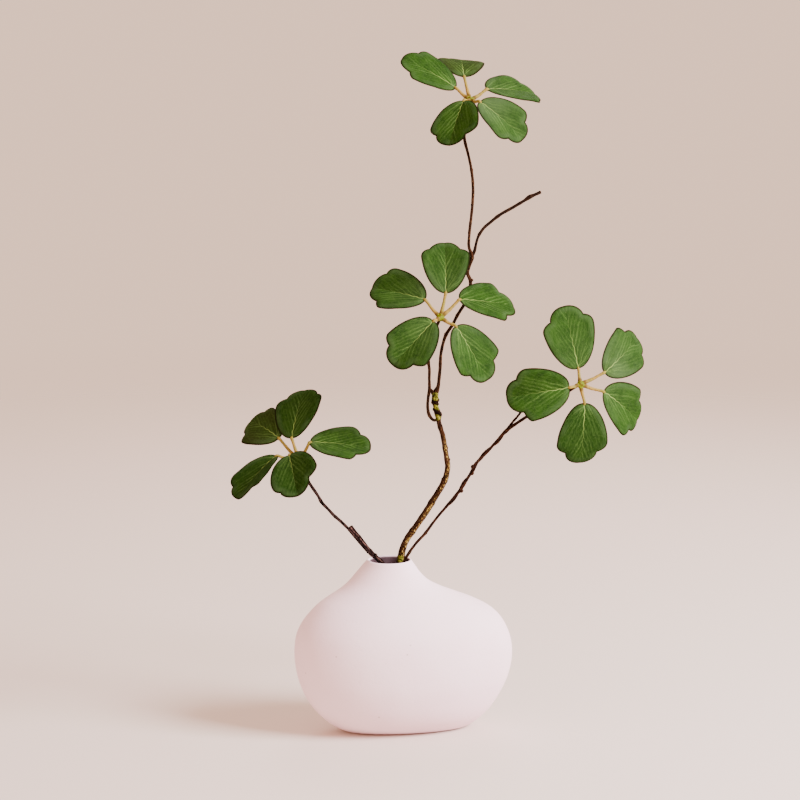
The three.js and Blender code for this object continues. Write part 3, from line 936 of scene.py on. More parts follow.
@dataclass
class Branch:
    """One branch: stems that fork, swellings and buds, as one skin of bark.

    The wraps are strands that no moss grows on: the bare twig and those about the trunk's knots. A joint
    is a low swelling with a small round scar beside it.
    """

    name: str
    node: str
    stems: list[list[Knot]]
    buds: list[Knot]
    finish: BarkFinish
    seed: int
    wraps: list[list[Knot]] = field(default_factory=list)
    cut_faces: tuple[Spot, ...] = ()
    voxel: float = 0.3
    sides: int = 18
    spacing: float = 1.0
    joint_every: tuple[float, float] = (17.0, 31.0)
    joint_margin: float = 8.0
    joint_reach: float = 1.6
    joint_swell: float = 0.13
    scar_place: float = 0.82
    scar_radius: float = 0.42
    scar_squash: float = 1.1
    ridge: float = 0.16
    ridge_scale: Place = (0.9, 0.9, 0.13)
    ridge_full_at: float = 1.6
    knob: float = 0.10
    knob_scale: Place = (0.35, 0.35, 0.22)
    crease_depth: float = 0.28
    crease_reach: float = 0.55
    swell: float = 0.0
    paths: list[Path] = field(default_factory=list)

    def build(self) -> Object:
        """The branch as one welded skin with bark ridges.

        Returns:
            The piece.
        """
        draw = np.random.default_rng(self.seed)
        shells = []
        for knots in self.stems + self.wraps:
            path = Path(knots, self.spacing)
            shells += self._swell_joints(path, draw)
            shells.append(path.tube(self.sides))
            self.paths.append(path)
        shells += [ball(bud[:3], bud[3]) for bud in self.buds]
        piece = make_object(self.name, shells)
        weld(piece, self.voxel)
        self._carve_bark(piece.data)
        return piece

    def _swell_joints(self, path: Path, draw: np.random.Generator) -> list[Shell]:
        """Thickens a stem at its joints and sets a small scar beside each.

        Args:
            path: The stem's path, whose radii change.
            draw: The branch's random draws.

        Returns:
            The scars.
        """
        scars = []
        place = draw.uniform(*self.joint_every)
        while place < path.length - self.joint_margin:
            k = int(np.argmin(np.abs(path.run - place)))
            bump = np.exp(-(((path.run - place) / self.joint_reach) ** 2))
            path.radii = path.radii * (1 + self.joint_swell * bump)
            out = path.out(k, draw.uniform(0, TURN))
            centre = path.middles[k] + out * path.radii[k] * self.scar_place
            scars.append(ball(centre, path.radii[k] * self.scar_radius, self.scar_squash))
            place += draw.uniform(*self.joint_every)
        return scars

    def _carve_bark(self, mesh: Mesh) -> None:
        """Raises bark ridges on the skin and stores where each point lies along its stem.

        Args:
            mesh: The welded skin.
        """
        axes = np.vstack([np.stack([p.normals, p.binormals, p.tangents], axis=1) for p in self.paths])
        middles = np.vstack([path.middles for path in self.paths])
        runs = np.concatenate([path.run + STEM_OFFSET * (n + 1) for n, path in enumerate(self.paths)])
        radii = np.concatenate([path.radii for path in self.paths])
        points, outward = read_points(mesh)
        nearest, stem, gap = self._nearest(points)
        grain = ((points - middles[nearest])[:, None] * axes[nearest]).sum(axis=2)
        grain[:, 2] += runs[nearest]
        size = radii[nearest]
        ridges = np.array([noise.fractal(Vector(row), 0.7, 2.1, 4) for row in grain * self.ridge_scale])
        # nearness to where two stems meet: sinks the skin there and marks where the finish paints shade
        crease_and_shade = np.exp(-((gap / self.crease_reach) ** 2))
        height = (
            ridges * self.ridge * np.clip(size / self.ridge_full_at, 0.6, 1.5)
            + lumps(grain, self.knob_scale) * self.knob * size
            - crease_and_shade * self.crease_depth
            + self.swell
        )
        write_points(mesh, points + outward * height[:, None])
        cut = np.zeros(len(points))
        for centre, radius in self.cut_faces:
            reach = np.linalg.norm(points - np.array(centre), axis=1)
            cut = np.maximum(cut, np.clip((radius - reach) / 0.5, 0, 1))
        write_attribute(mesh, "grain", *grain.T)
        write_attribute(mesh, "state", cut, crease_and_shade, stem >= len(self.stems))

    def _nearest(self, points: Array) -> tuple[Array, Array, Array]:
        """Which station of which stem each point belongs to.

        Args:
            points: The skin's points.

        Returns:
            The station, the stem, and how much further off the next stem's skin is, in mm.
        """
        depths, stations = [], []
        start = 0
        for path in self.paths:
            index, reach = find_nearest(path.middles, points)
            depths.append(reach - path.radii[index])
            stations.append(index + start)
            start += len(path.middles)
        depth = np.array(depths)
        order = np.argsort(depth, axis=0)
        rows = np.arange(len(points))
        stem = order[0]
        gap = depth[order[1], rows] - depth[stem, rows]
        return np.array(stations)[stem, rows], stem, gap

    def dress(self, piece: Object) -> None:
        """Gives the branch its bark."""
        hand_over(piece, self.node, self.finish.material())


TRUNK: list[Knot] = [
    (-49, 2, 8.2, 2.4), (-45, 2, 25, 2.5), (-34.5, 1.5, 62, 2.5), (-21, 1, 104, 2.5), (-12.5, 0.6, 127, 2.5),
    (-8.6, 0.5, 138.5, 2.5), (-7, 0, 146.5, 2.6), (-4, -0.5, 154, 2.4), (5, -2.5, 167.5, 2.4),
    (11, -4, 177, 2.45), (20.5, -6.5, 193, 2.3), (24.5, -7.5, 200.5, 2.25), (26.6, -8.5, 207.5, 2.1),
    (27.2, -9, 214, 2.05), (26.4, -9, 220, 2), (25.2, -8.5, 228, 1.9), (23.2, -8.3, 239, 1.8),
    (20.3, -7.8, 248.5, 1.75), (19.7, -7.6, 254.5, 2.6), (18, -7.2, 260.5, 2.1), (17.4, -7, 266.5, 2.6),
    (17.8, -7, 271.5, 2.4), (19.8, -7.4, 277, 1.45), (20.5, -7.6, 283, 1.2), (21.3, -7.8, 292, 1.15),
    (21.6, -8, 301, 1.15), (23.4, -8.2, 310.5, 1.15), (26, -8.6, 318, 1.2), (31, -10, 326, 1.2),
    (34.5, -11.2, 333.5, 1.15), (39, -12.3, 341, 1.2), (42.3, -13.3, 350, 1.15), (43.9, -13.8, 359.5, 1.35),
    (41.6, -13.5, 366, 1.25), (43, -13.6, 371.5, 1.2), (45, -14, 379, 1.45), (42.6, -13.8, 386, 1.1),
    (42.8, -13.7, 396, 1), (44, -13.8, 407, 1.05), (45.2, -14, 420, 1), (45.5, -14, 433, 1.05),
    (44.2, -13.8, 446, 1), (41.6, -13.4, 458, 1), (39, -13, 468.5, 1.15), (39, -12.5, 478, 1),
    (42.5, -13.4, 496.6, 1.1),
]
BARE_TWIG: list[Knot] = [
    (44.9, -14, 378.5, 1), (47.2, -12.4, 382.5, 1.15), (48.8, -10.6, 388, 1.0), (51, -8.9, 394, 1.0),
    (54.5, -7.5, 399, 1.1), (61.5, -5.8, 404.7, 1.1), (69, -4.1, 410, 1.15), (79, -2.6, 415.2, 1.15),
    (88, -1.3, 420, 1.1), (93.6, -0.4, 423.3, 1.6), (97.5, 0.2, 424.9, 1.15), (102.5, 1.2, 427, 1.25),
]
MIDDLE_WHORL_STEM: list[Knot] = [
    (20, -7.7, 250.5, 1.2), (16, -8, 250.5, 1.2), (12.6, -8.6, 254.5, 1.3), (11.2, -9.6, 260, 1.1),
    (10.9, -12, 267.5, 1.1), (11.4, -15, 275.5, 1.15), (10.8, -18, 283.5, 1.05), (10.2, -21, 292, 1.05),
    (8.8, -24.2, 300, 1.1), (9.3, -28.5, 314, 1), (15.3, -34.6, 332.2, 1.1),
]
TRUNK_HORN: list[Knot] = [(17.4, -7, 268.5, 2), (15.2, -8, 272.5, 1.4), (13.7, -9, 274.8, 0.9)]
HIGH_WRAP: list[Knot] = [
    (17.2, -5.0, 267.6, 0.6), (15.5, -6.3, 266.9, 0.75), (15.2, -8.2, 265.9, 0.85), (16.9, -9.3, 264.7, 0.95),
    (19.2, -8.9, 263.5, 0.9), (19.9, -7.2, 262.5, 0.7), (18.8, -5.6, 261.6, 0.5),
]
LOW_WRAP: list[Knot] = [
    (17.6, -5.6, 260.4, 0.6), (16.3, -6.8, 259.2, 0.8), (16.9, -8.7, 258, 1.0), (19.3, -9.6, 256.4, 1.15),
    (21.5, -8.8, 254.6, 1.25), (21.8, -7.2, 253.2, 0.85), (20.6, -6, 252.2, 0.5),
]
TRUNK_BUDS: list[Knot] = [
    (21.4, -8.4, 255.2, 1.5), (15.6, -6.4, 264, 1.2), (28.2, -9.6, 219, 1), (-5.4, -2, 149, 1.5),
    (44.9, -14.4, 360.5, 1.1),
]
RIGHT_STEM: list[Knot] = [
    (-69, 10, 28, 1.3), (-58, 9.5, 50, 1.3), (-38, 8, 86, 1.25), (-20, 6.5, 115, 1.25),
    (-11.5, 4.7, 128.5, 1.2), (-4.1, 3.4, 138.5, 1.15), (4, 4, 149.3, 1.05), (12.3, 4.5, 158, 1.08),
    (19.1, 4.6, 167, 1.05), (26.6, 4.5, 176, 1.05), (33.4, 4, 184, 1.05), (39.8, 3.3, 191.8, 1.35),
    (44.6, 3.5, 199, 1.15), (48.4, 3.7, 205, 1.2), (51.8, 3, 212, 1.2), (57, 3, 217.5, 1.15),
    (63, 3, 223.5, 1.1), (69.2, 2, 230.8, 1.1), (77, 1.6, 239, 1.35), (83.6, 1.5, 243.6, 1.25),
    (92.7, 1.6, 249.3, 1.25), (104, 1.2, 256.5, 1.2), (116, 0, 263.3, 1.05), (132.9, -5, 274.3, 1.05),
]
RIGHT_BUDS: list[Knot] = [(40.6, 3.0, 191.3, 1.8), (49.3, 3.1, 205.0, 1.7), (50.0, 3.1, 210.3, 1.7)]
STRAND_TIP: list[Knot] = [(81.6, 3.2, 244.6, 0.85), (88.6, 4.8, 252.3, 0.85), (94.5, 6, 260.5, 0.75)]
CUT_STUB: list[Knot] = [
    (34, -8, 7.9, 1.9), (33, -10, 30, 1.9), (24, -11, 66, 1.95), (4, -10, 100, 1.95),
    (-13, -7.8, 123.5, 1.95), (-25, -5.6, 137.5, 1.95), (-33.8, -5, 146.4, 1.85), (-41.2, -5.1, 155.8, 1.85),
    (-49.6, -5.3, 167, 1.9),
]
SIDE_SHOOT: list[Knot] = [
    (-25.5, -5.8, 137.5, 1.2), (-32.6, -6.2, 143.8, 1.3), (-38.2, -6.6, 149.8, 1.2), (-42.8, -7, 155.2, 1.15),
    (-47.4, -7.2, 160.9, 1.15), (-52, -7.3, 166.5, 1.1), (-56.6, -7.4, 171.2, 1.15),
    (-62.6, -7.6, 176.8, 1.1), (-67.4, -8, 182.2, 1.1), (-72.3, -8.1, 187.6, 1.2), (-75.6, -8.3, 193.4, 1.1),
    (-79.4, -8.5, 199.2, 1.15), (-83, -8.6, 205, 1.1), (-86.4, -8.6, 213, 1.1), (-89.1, -8.5, 219.2, 1.15),
]
STUB_BUDS: list[Knot] = [(-29.8, -6.6, 143.8, 1.5)]


@dataclass(frozen=True)
class WindingStrand:
    """The thinner strand that winds about the right stem before it parts from it."""

    start: float = 0.56
    end: float = 0.79
    turns: float = 2.5
    offset: float = 1.3
    radius: float = 0.8
    stations: int = 30
    spacing: float = 0.5

    def knots(self, stem: list[Knot], tip: list[Knot]) -> list[Knot]:
        """The strand's knots.

        Args:
            stem: The stem that it winds about.
            tip: Where it goes after that.

        Returns:
            The knots from its start to its tip.
        """
        path = Path(stem, self.spacing)
        made = []
        for share in np.linspace(0, 1, self.stations + 1):
            k = round((self.start + (self.end - self.start) * share) * (len(path.run) - 1))
            out = path.out(k, TURN * self.turns * share)
            made.append((*(path.middles[k] + out * self.offset), self.radius))
        return made + tip


def make_branches() -> list[Branch]:
    """The three branches, each with its own bark.

    Returns:
        The middle, right and left branch.
    """
    middle = BarkFinish(
        name="mossy_bark",
        skin=(0.044, 0.0150, 0.0058),
        mossy=(
            ((16.9, -9, 269.1), 4.4), ((17.8, -9, 260.2), 3.6), ((19, -9.4, 252.8), 3.4),
            ((-9.6, -2.6, 139.0), 4.0),
        ),
        streaked=(((0, -1, 160), 34.0), ((16, -5, 184), 30.0), ((26, -8.5, 216), 25.0)),
        specks=0.8,
    )
    right = BarkFinish(name="dark_bark", skin=(0.040, 0.0112, 0.0044), specks=0.5)
    left = BarkFinish(
        name="plum_bark",
        deep=(0.0012, 0.0003, 0.0002),
        skin=(0.012, 0.0032, 0.0026),
        pale=(0.210, 0.105, 0.088),
        painted_highlight=0.85,
        specks=0.3,
    )
    return [
        Branch(
            "middle_bark", "middle_branch", [TRUNK, MIDDLE_WHORL_STEM, TRUNK_HORN], TRUNK_BUDS, middle,
            seed=3, wraps=[BARE_TWIG, HIGH_WRAP, LOW_WRAP], voxel=0.36, swell=0.1,
        ),
        Branch(
            "right_bark", "right_branch", [RIGHT_STEM, WindingStrand().knots(RIGHT_STEM, STRAND_TIP)],
            RIGHT_BUDS, right, seed=8, swell=0.07,
        ),
        Branch(
            "left_bark", "left_branch", [CUT_STUB, SIDE_SHOOT], STUB_BUDS, left,
            seed=5, cut_faces=(((-50.2, -5.3, 167.9), 1.7),), swell=0.1,
        ),
    ]


# ---------------------------------------------------------------- whorls


class Tone(Enum):
    """How a leaflet's green leans: painted sheen above 0, painted shade and then age brown below it."""

    PLAIN = 0.0
    # a little painted sheen
    LIGHT = 0.3
    STRONG_SHEEN = 0.75
    IN_SHADE = -0.35
    BROWNED = -0.8


def bezier(handles: list[tuple[float, float]], steps: int) -> Array:
    """Points along a cubic curve, without its first.

    Args:
        handles: Its four handles.
        steps: How many points.

    Returns:
        The points.
    """
    p0, p1, p2, p3 = np.array(handles, dtype=float)
    t = np.linspace(0, 1, steps + 1)[1:, None]
    return p0 * (1 - t) ** 3 + 3 * p1 * t * (1 - t) ** 2 + 3 * p2 * t**2 * (1 - t) + p3 * t**3


@dataclass
class Leaflet:
    """One blade: its foot from the boss, how it lies, and its own outline and curvature.

    Its angles are in degrees, and its widths and cuts are those of its left and right edge, as shares of
    its length. A notch below 1 makes an edge's cut shallower.
    """

    place: str
    foot: Place
    clock: float
    lean: float
    roll: float
    length: float
    arch: float
    cup: float
    bend: float
    widths: tuple[float, float]
    cuts: tuple[float, float]
    tone: Tone = Tone.PLAIN
    notch: tuple[float, float] = (1.0, 1.0)
    widest_at: float = 0.66
    end_width: float = 0.025
    cut_width: float = 0.265
    tip_width: float = 0.255
    base_swell: float = 0.22
    steps: tuple[int, int, int] = (34, 16, 22)
    across: int = 22
    crowding: float = 1.15
    thickness: float = 0.46
    margin_thickness: float = 0.26
    margin_reach: float = 3.0
    rim_bulge: float = 0.16
    rib_taper: float = 0.016
    rib_tip: float = 0.006
    rib_depth: float = 0.75
    rib_groove: float = 0.16
    quilt: float = 0.05
    quilt_reach: float = 0.36
    wave: float = 0.35
    wave_reach: float = 0.42
    ripples: tuple[float, float] = (11, 19)
    roll_reach: float = 4.5
    roll_drop: float = 0.9

    def axes(self) -> Array:
        """How the blade lies.

        Returns:
            The midrib, the left-hand side and the normal of the upper face, as columns.
        """
        c, l, r = (math.radians(v) for v in (self.clock, self.lean, self.roll))
        midrib = np.array([math.cos(c) * math.cos(l), -math.sin(l), math.sin(c) * math.cos(l)])
        front = np.array([0.0, -1.0, 0.0])
        upright = unit(front - midrib * (front @ midrib))
        normal = upright * math.cos(r) + np.cross(upright, midrib) * math.sin(r)
        return np.stack([midrib, np.cross(normal, midrib), normal], axis=1)

    def edge(self, width: float, cut_at: float, notch: float) -> Array:
        """One edge of the blade, from foot to tip, as shares of its length.

        Args:
            width: Its widest half width.
            cut_at: How far along its cut stands.
            notch: How deep the cut is, 1 for a plain one.

        Returns:
            Rows of along and across.
        """
        cut_width = self.cut_width + (1 - notch) * 0.08
        shoulder = self.tip_width + (1 - notch) * 0.02
        widest, cut = (self.widest_at, width), (cut_at, cut_width)
        side = [(0, self.end_width), (0, self.base_swell), (0.34, width - 0.015), widest]
        corner = [widest, (cut_at - 0.07, width), (cut_at - 0.02, cut_width + 0.075), cut]
        tip = [cut, (cut_at + 0.6 * (1 - cut_at), shoulder), (1, 0.59 * self.tip_width), (1, self.end_width)]
        curves = [bezier(handles, steps) for handles, steps in zip((side, corner, tip), self.steps)]
        return np.vstack([[(0, self.end_width)], *curves])

    def grid(self) -> tuple[Array, Array]:
        """The places of the blade's points.

        Returns:
            How far each lies along and across, as shares of the length.
        """
        left, right = (self.edge(*edge) for edge in zip(self.widths, self.cuts, self.notch))
        columns = np.linspace(-1, 1, 2 * self.across + 1)
        share = np.abs(columns) ** self.crowding
        edge = np.where(columns[None, :, None] < 0, left[:, None], right[:, None])
        middle = (left[:, 0] + right[:, 0])[:, None] / 2
        return middle + (edge[..., 0] - middle) * share, edge[..., 1] * share * -np.sign(columns)

    def surface(self, along: Array, offset: Array) -> Array:
        """The blade's middle surface, with its foot at the origin and its tip towards +X, in mm.

        Args:
            along: Shares of the length from the foot.
            offset: Signed distances from the midrib.

        Returns:
            The points.
        """
        arch, cup = math.radians(self.arch), math.radians(self.cup)
        turn = arch * along
        lift = np.abs(offset) * math.sin(cup)
        x = np.sin(turn) / arch - self.bend * along * offset + np.sin(turn) * lift
        y = offset * math.cos(cup) + self.bend * along**2 / 2
        z = (np.cos(turn) - 1) / arch + np.cos(turn) * lift
        return np.stack([x, y, z], axis=-1) * self.length

    def build(self, whorl: str, boss: Place, veins: VeinPattern, seed: int) -> Object:
        """The blade with its rolled margin, quilted between its veins and ribbed below.

        Args:
            whorl: The whorl's name.
            boss: The whorl's boss.
            veins: The pattern of its veins.
            seed: The number that its waves and mottling come from.

        Returns:
            The piece.
        """
        along, offset = self.grid()
        middle = self.surface(along, offset)
        down, over = np.gradient(middle, axis=(0, 1))
        normal = unit(np.cross(down, -over))
        rim = np.vstack([middle[:, 0], middle[-1], middle[::-1, -1], middle[0, ::-1]])
        margin = find_nearest(rim, middle.reshape(-1, 3))[1].reshape(along.shape)
        inner = np.clip(margin / self.margin_reach, 0, 1)
        rib = np.exp(-((offset / (self.rib_taper * (1 - along) + self.rib_tip)) ** 2))
        rib *= np.clip(1.05 - along, 0, 1)
        number = veins.count(along, offset)
        fade = np.clip(1.15 - np.abs(offset) / self.quilt_reach, 0, 1) * np.clip(1.2 - along, 0, 1)
        quilt = (np.abs(number - np.round(number)) * 2 - 0.6) * self.quilt * fade * inner
        phase = seed * 1.7
        long, short = self.ripples
        ripple = np.sin(along * long + phase) * 0.6
        ripple += np.sin(along * short + phase * 2.3 + np.sign(offset)) * 0.4
        wave = ripple * self.wave * (np.abs(offset) / self.wave_reach) ** 2 * np.clip(along * 4, 0, 1)
        drop = self.roll_drop * (1 - np.clip(margin / self.roll_reach, 0, 1)) ** 2
        middle = middle + normal * (quilt + wave - drop - rib * self.rib_groove)[..., None]
        half = (self.margin_thickness + (self.thickness - self.margin_thickness) * inner) / 2
        above = middle + normal * half[..., None]
        below = middle - normal * (half + rib * self.rib_depth * (1 - along * 0.8))[..., None]
        shell, marks = self._close(above, below, middle, np.stack([along, offset, margin], axis=-1))
        shell.points = shell.points @ self.axes().T + np.array(boss) + np.array(self.foot)
        piece = make_object(f"{whorl}_blade_{self.place}", [shell])
        write_attribute(piece.data, "blade", marks[:, 0], marks[:, 1], marks[:, 3])
        # the tone says how much painted sheen, painted shade or age brown the finish lays on
        write_attribute(piece.data, "growth", marks[:, 2], self.tone.value, seed * 3.1)
        return piece

    def _close(self, above: Array, below: Array, middle: Array, marks: Array) -> tuple[Shell, Array]:
        """Joins both faces round a thin rounded rim.

        Args:
            above: The upper face's points.
            below: The lower face's points.
            middle: The surface between them.
            marks: Each point's along, across and distance from the outline.

        Returns:
            The shell, and each of its points' along, across, distance and side, 1 above and 0 below.
        """
        rows, columns = middle.shape[:2]
        index = np.arange(rows * columns).reshape(rows, columns)
        ring = np.concatenate([index[:, 0], index[-1, 1:], index[-2::-1, -1], index[0, -2:0:-1]])
        flat = middle.reshape(-1, 3)
        rim = flat[ring] + unit(flat[ring] - flat.mean(axis=0)) * self.rim_bulge
        under = rows * columns
        lip = 2 * under + np.arange(len(ring))
        after, lip_after = np.roll(ring, -1), np.roll(lip, -1)
        corners = [index[:-1, :-1], index[:-1, 1:], index[1:, 1:], index[1:, :-1]]
        top = np.stack(corners, axis=-1).reshape(-1, 4)
        faces = np.vstack([
            top,
            under + top[:, [0, 3, 2, 1]],
            np.stack([ring, after, lip_after, lip], axis=1),
            np.stack([lip, lip_after, under + after, under + ring], axis=1),
        ])
        points = np.vstack([above.reshape(-1, 3), below.reshape(-1, 3), rim])
        plain = np.append(marks.reshape(-1, 3), np.ones((under, 1)), axis=1)
        sides = [plain, plain * (1, 1, 1, 0), plain[ring] * (1, 1, 0, 0.6)]
        return Shell(points, faces.tolist()), np.vstack(sides)


@dataclass
class Whorl:
    """A boss with five stalks and the leaflets that they carry."""

    name: str
    boss: Place
    leaflets: list[Leaflet]
    seed: int
    boss_radius: float = 3.0
    bud_scales: int = 7
    stalk_radius: float = 1.4
    stalk_tip_radius: float = 1.18
    stalk_sides: int = 14
    spacing: float = 0.8
    sag: float = 1.0
    lump: float = 0.16
    lump_scale: float = 0.55
    rib: float = 0.06
    rib_scale: float = 1.6
    voxel: float = 0.28

    def build(self, veins: VeinPattern) -> tuple[Object, list[Object]]:
        """Builds the stalks as one piece, and each leaflet as its own.

        Args:
            veins: The leaflets' vein pattern.

        Returns:
            The stalks, and the leaflets in order.
        """
        blades = [
            leaflet.build(self.name, self.boss, veins, self.seed * 10 + n)
            for n, leaflet in enumerate(self.leaflets)
        ]
        paths = [self._stalk(leaflet) for leaflet in self.leaflets]
        piece = make_object(
            f"{self.name}_stalk_fan", [path.tube(self.stalk_sides) for path in paths] + self._boss()
        )
        weld(piece, self.voxel)
        points, outward = read_points(piece.data)
        height = lumps(points, self.lump_scale) * self.lump + lumps(points, self.rib_scale) * self.rib
        write_points(piece.data, points + outward * height[:, None])
        shares = np.concatenate([path.run / path.length for path in paths])
        share = shares[find_nearest(np.vstack([path.middles for path in paths]), points)[0]]
        reach = np.linalg.norm(points - np.array(self.boss), axis=1)
        write_attribute(piece.data, "stalk", share, reach)
        return piece, blades

    def _stalk(self, leaflet: Leaflet) -> Path:
        """The path of one stalk, from inside the boss to the blade's foot and a little under it.

        Args:
            leaflet: The leaflet that it carries.

        Returns:
            The path, thicker at both ends.
        """
        foot = np.array(leaflet.foot, dtype=float)
        midrib, _, upper = leaflet.axes().T
        way = unit(foot)
        start = way * 0.8
        end = foot - way * 0.5 - upper * 0.15
        middle = (start + end) / 2 + np.array([0, 0, -self.sag / 2])
        places = [start, way * 3.6, middle, end - way * 2.2, end, foot + midrib * 1.6 - upper * 0.55]
        radii = [
            *(self.stalk_radius * share for share in (1.3, 1.2, 0.92)),
            *(self.stalk_tip_radius * share for share in (0.98, 1.12, 0.45)),
        ]
        boss = np.array(self.boss)
        return Path([(*(boss + place), radius) for place, radius in zip(places, radii)], self.spacing)

    def _boss(self) -> list[Shell]:
        """The boss, a low lumpy cushion with a few bud scales on it.

        Returns:
            Its shells.
        """
        draw = np.random.default_rng(self.seed)
        shells = [ball(self.boss, self.boss_radius * 0.92, 0.95)]
        for _ in range(self.bud_scales):
            centre = np.array(self.boss) + unit(draw.normal(size=3)) * self.boss_radius * 0.62
            shells.append(ball(centre, self.boss_radius * draw.uniform(0.34, 0.5)))
        return shells

    def dress(self, stalks: Object, blades: list[Object], stalk_skin: Material, leaf_skin: Material) -> None:
        """Gives the whorl its finishes.

        Args:
            stalks: The stalks.
            blades: The leaflets, in order.
            stalk_skin: The stalks' finish.
            leaf_skin: The leaflets' finish.
        """
        hand_over(stalks, f"{self.name}_whorl_stalks", stalk_skin)
        for leaflet, blade in zip(self.leaflets, blades):
            hand_over(blade, f"{self.name}_leaflet_{leaflet.place}", leaf_skin)


def make_whorls() -> list[Whorl]:
    """The four whorls, with each leaflet named by where it shows from the front.

    Returns:
        The top, middle, right and left whorl.
    """
    # Of these tones, light and the third lay painted sheen on a leaflet, the first lays painted shade,
    # browned is age brown
    in_shade, light, strong_sheen, browned = Tone.IN_SHADE, Tone.LIGHT, Tone.STRONG_SHEEN, Tone.BROWNED
    top = [
        Leaflet("upper_left", (-10, 6, 10), 146, -10, -49, 47, 11, 6, 0.04, (0.43, 0.42), (0.77, 0.81),
                notch=(0.8, 0.6)),
        Leaflet("back", (-1.7, 14.5, 18.5), 82, -57, 7, 44, 33, 3, -0.14, (0.42, 0.4), (0.84, 0.86), browned),
        Leaflet("right", (14, 2.6, 9), 0, -23, 61, 47.5, 11, 7, -0.03, (0.43, 0.41), (0.84, 0.87), light,
                notch=(1, 0.4)),
        Leaflet("lower_right", (5.6, -10, -0.3), -36, 26, 36, 44.5, 23, 14, 0, (0.42, 0.43), (0.81, 0.81),
                strong_sheen),
        Leaflet("lower_left", (-6.7, -8, 0.8), -121, 40, -48, 46, 9, 10, 0, (0.45, 0.4), (0.82, 0.82)),
    ]
    middle = [
        Leaflet("upper", (4.7, 2.2, 19), 85, -24, 11, 45.5, 23, 10, 0.05, (0.41, 0.42), (0.84, 0.82), light,
                cut_width=0.23, tip_width=0.19, notch=(0.6, 0.6)),
        Leaflet("upper_left", (-11, 5, 14), 165, -33, -34, 46, 7, 14, 0.08, (0.43, 0.42), (0.78, 0.82), light,
                notch=(0.75, 0.6)),
        Leaflet("lower_left", (-6.4, -6, -1.2), -136, 12, -29, 47, 6, 14, -0.02, (0.44, 0.41), (0.79, 0.8),
                light),
        Leaflet("lower_right", (11.3, -6, -5.8), -59, 13, 26, 48, 7, 8, -0.01, (0.43, 0.43), (0.78, 0.79),
                light),
        Leaflet("upper_right", (15.3, 0.4, 14.2), -6, -13, 52, 48.5, 10, 6, 0, (0.43, 0.41), (0.79, 0.77)),
    ]
    right = [
        Leaflet("upper", (-1.1, 1.2, 12.5), 103, 1, -9, 51, 12, 3, -0.02, (0.44, 0.42), (0.81, 0.81), light,
                notch=(0.8, 0.75)),
        Leaflet("upper_right", (20, 0.6, 9), 36, -15, -4, 46, 24, 6, 0.01, (0.44, 0.42), (0.81, 0.84),
                strong_sheen),
        Leaflet("lower_right", (19.5, -0.4, -6.2), -35, -20, 22, 49.5, 15, 10, -0.03, (0.42, 0.43),
                (0.79, 0.82), light),
        Leaflet("lower", (3.3, -2.6, -14.8), -92, 3, 6, 50.5, 24, 0, 0.06, (0.43, 0.42), (0.82, 0.81), in_shade),
        Leaflet("left", (-9.6, -4.4, -1.6), -174, 9, 0, 51.5, 20, 14, 0.06, (0.42, 0.42), (0.77, 0.82)),
    ]
    left = [
        Leaflet("upper_left", (-14.2, 14.5, 16.2), 143, -50, -14, 44, 29, 1, 0.12, (0.44, 0.41), (0.8, 0.8),
                browned),
        Leaflet("upper", (-5.3, 5.5, 17.5), 72, -35, 44, 47.5, 14, 5, 0.04, (0.43, 0.41), (0.83, 0.855), in_shade,
                notch=(0.9, 0.7)),
        Leaflet("right", (8.8, 2.5, 14.6), -3, 13, 60, 47.5, 6, 8, 0.05, (0.42, 0.43), (0.82, 0.77)),
        Leaflet("lower", (-8.9, -6.6, 6.7), -90, 66, -28, 47.5, 15, 13, -0.08, (0.44, 0.39), (0.77, 0.85),
                in_shade, widest_at=0.6),
        Leaflet("lower_left", (-17.7, 3.1, 4.4), -144, 17, -76, 46.5, 14, 15, 0.07, (0.44, 0.42),
                (0.75, 0.84), in_shade),
    ]
    return [
        Whorl("top", (43, -13.5, 498.5), top, 1),
        Whorl("middle", (16, -35.3, 334), middle, 2),
        Whorl("right", (134.5, -5.4, 275.2), right, 3),
        Whorl("left", (-90, -8.5, 221.3), left, 4),
    ]


# ---------------------------------------------------------------- studio


@dataclass(frozen=True)
class Lamp:
    """A square soft light that looks at the arrangement, its side in mm and its power in watts."""

    name: str
    place: Place
    side: float
    power: float
    color: Color
    target: Place = (0, 0, 250)

    def hang(self) -> None:
        """Adds the light to the scene."""
        data = bpy.data.lights.new(self.name, "AREA")
        data.size = self.side * MM
        data.energy = self.power
        data.color = self.color
        lamp = add_object(self.name, data)
        lamp.location = Vector(self.place) * MM
        lamp.rotation_mode = "QUATERNION"
        lamp.rotation_quaternion = (Vector(self.target) * MM - lamp.location).to_track_quat("-Z", "Y")


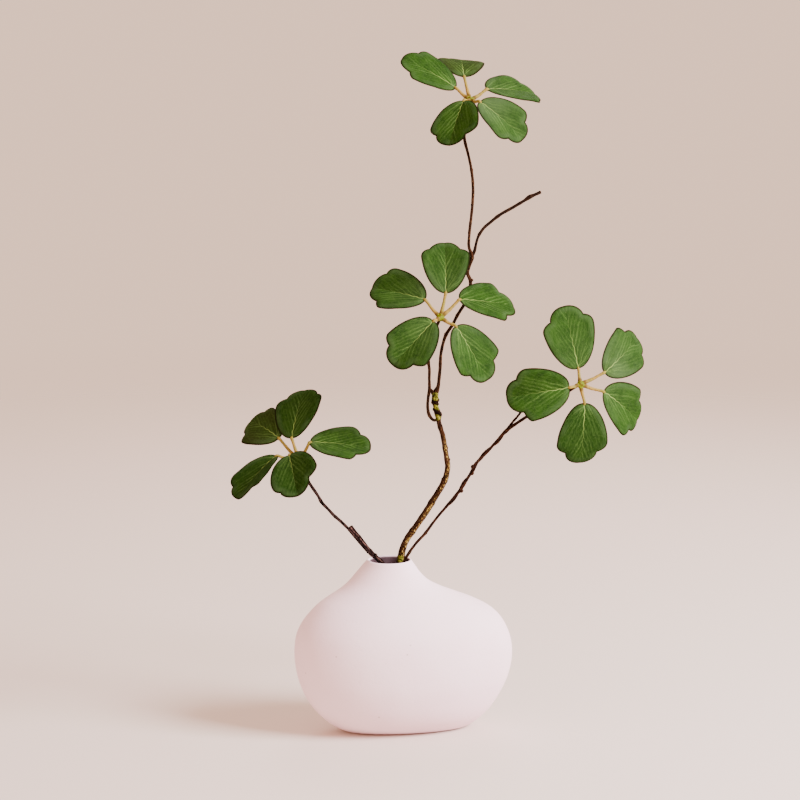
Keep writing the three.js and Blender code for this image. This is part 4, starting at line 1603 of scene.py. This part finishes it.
@dataclass(frozen=True)
class Studio:
    """A plain pale floor that fades into an even backdrop, soft light and the camera."""

    azimuth: float = -10.0
    pitch: float = 8.7
    distance: float = 1859.0
    height: float = 550.0
    sideways: float = -9.0
    lens: float = 108.0
    sensor: float = 36.0
    clip: tuple[float, float] = (0.05, 20.0)
    backdrop: Color = (1.0, 0.66, 0.49)
    backdrop_strength: float = 1.45
    floor_color: Color = (0.69, 0.575, 0.515)
    floor_radius: float = 4000.0
    floor_sides: int = 96
    floor_fade: tuple[float, float] = (700.0, 2600.0)
    lamps: tuple[Lamp, ...] = (
        Lamp("key", (1500, -1000, 1250), 900, 165.0, (0.96, 0.98, 1.05)),
        Lamp("side", (-1500, -600, 900), 1100, 4.0, (1.0, 0.97, 0.98)),
        Lamp("rim", (500, 1500, 1300), 900, 16.0, (1.0, 0.97, 0.95)),
    )

    def build(self) -> None:
        """Makes the floor, the light and the camera."""
        self._floor()
        self._world()
        for lamp in self.lamps:
            lamp.hang()
        self._camera()

    def _floor(self) -> None:
        """Makes the floor disc, see-through towards its edge."""
        ring = np.array([(math.cos(a), math.sin(a), 0) for a in round_angles(self.floor_sides)])
        disc = Shell(ring * self.floor_radius, [list(range(self.floor_sides))])
        floor = make_object("floor", [disc])
        g = ShaderGraph("floor_paper")
        place = g.position()
        x, y, _ = g.parts(place)
        near, far = self.floor_fade
        alpha = 1 - (x * x + y * y).root().rise(near * MM, far * MM)
        grain = g.noise(place, 40, 2)
        floor.data.materials.append(g.finish(self.floor_color, 0.9, grain, 0.05, 0.1, alpha))

    def _world(self) -> None:
        """Sets an even soft light all round."""
        world = bpy.data.worlds.new("backdrop")
        world.use_nodes = True
        background = next(n for n in world.node_tree.nodes if n.type == "BACKGROUND")
        background.inputs["Color"].default_value = (*self.backdrop, 1.0)
        background.inputs["Strength"].default_value = self.backdrop_strength
        bpy.context.scene.world = world

    def _camera(self) -> None:
        """Sets the camera at the viewing angle of the reference."""
        a, p = math.radians(self.azimuth), math.radians(self.pitch)
        right = Vector((math.cos(a), math.sin(a), 0))
        ahead = Vector((-math.sin(a), math.cos(a), 0))
        up = Vector((0, 0, 1))
        look = ahead * math.cos(p) - up * math.sin(p)
        data = bpy.data.cameras.new("camera")
        data.lens = self.lens
        data.sensor_width = self.sensor
        data.clip_start, data.clip_end = self.clip
        camera = add_object("camera", data)
        place = (right * self.sideways - ahead * self.distance + up * self.height) * MM
        turn = Matrix((right, right.cross(look), -look)).transposed()
        camera.matrix_world = Matrix.Translation(place) @ turn.to_4x4()
        bpy.context.scene.camera = camera


def main() -> None:
    """Builds and dresses the whole arrangement, piece by piece."""
    logging.basicConfig(level=logging.INFO, format="%(name)s: %(message)s")
    vase = Vase()
    vase.dress(vase.build(), BisqueFinish().material())
    for branch in make_branches():
        branch.dress(branch.build())
    veins = VeinPattern()
    leaf_skin = LeafFinish(veins).material()
    stalk_skin = StalkFinish().material()
    for whorl in make_whorls():
        stalks, blades = whorl.build(veins)
        whorl.dress(stalks, blades, stalk_skin, leaf_skin)
    Studio().build()


if __name__ == "__main__":
    main()
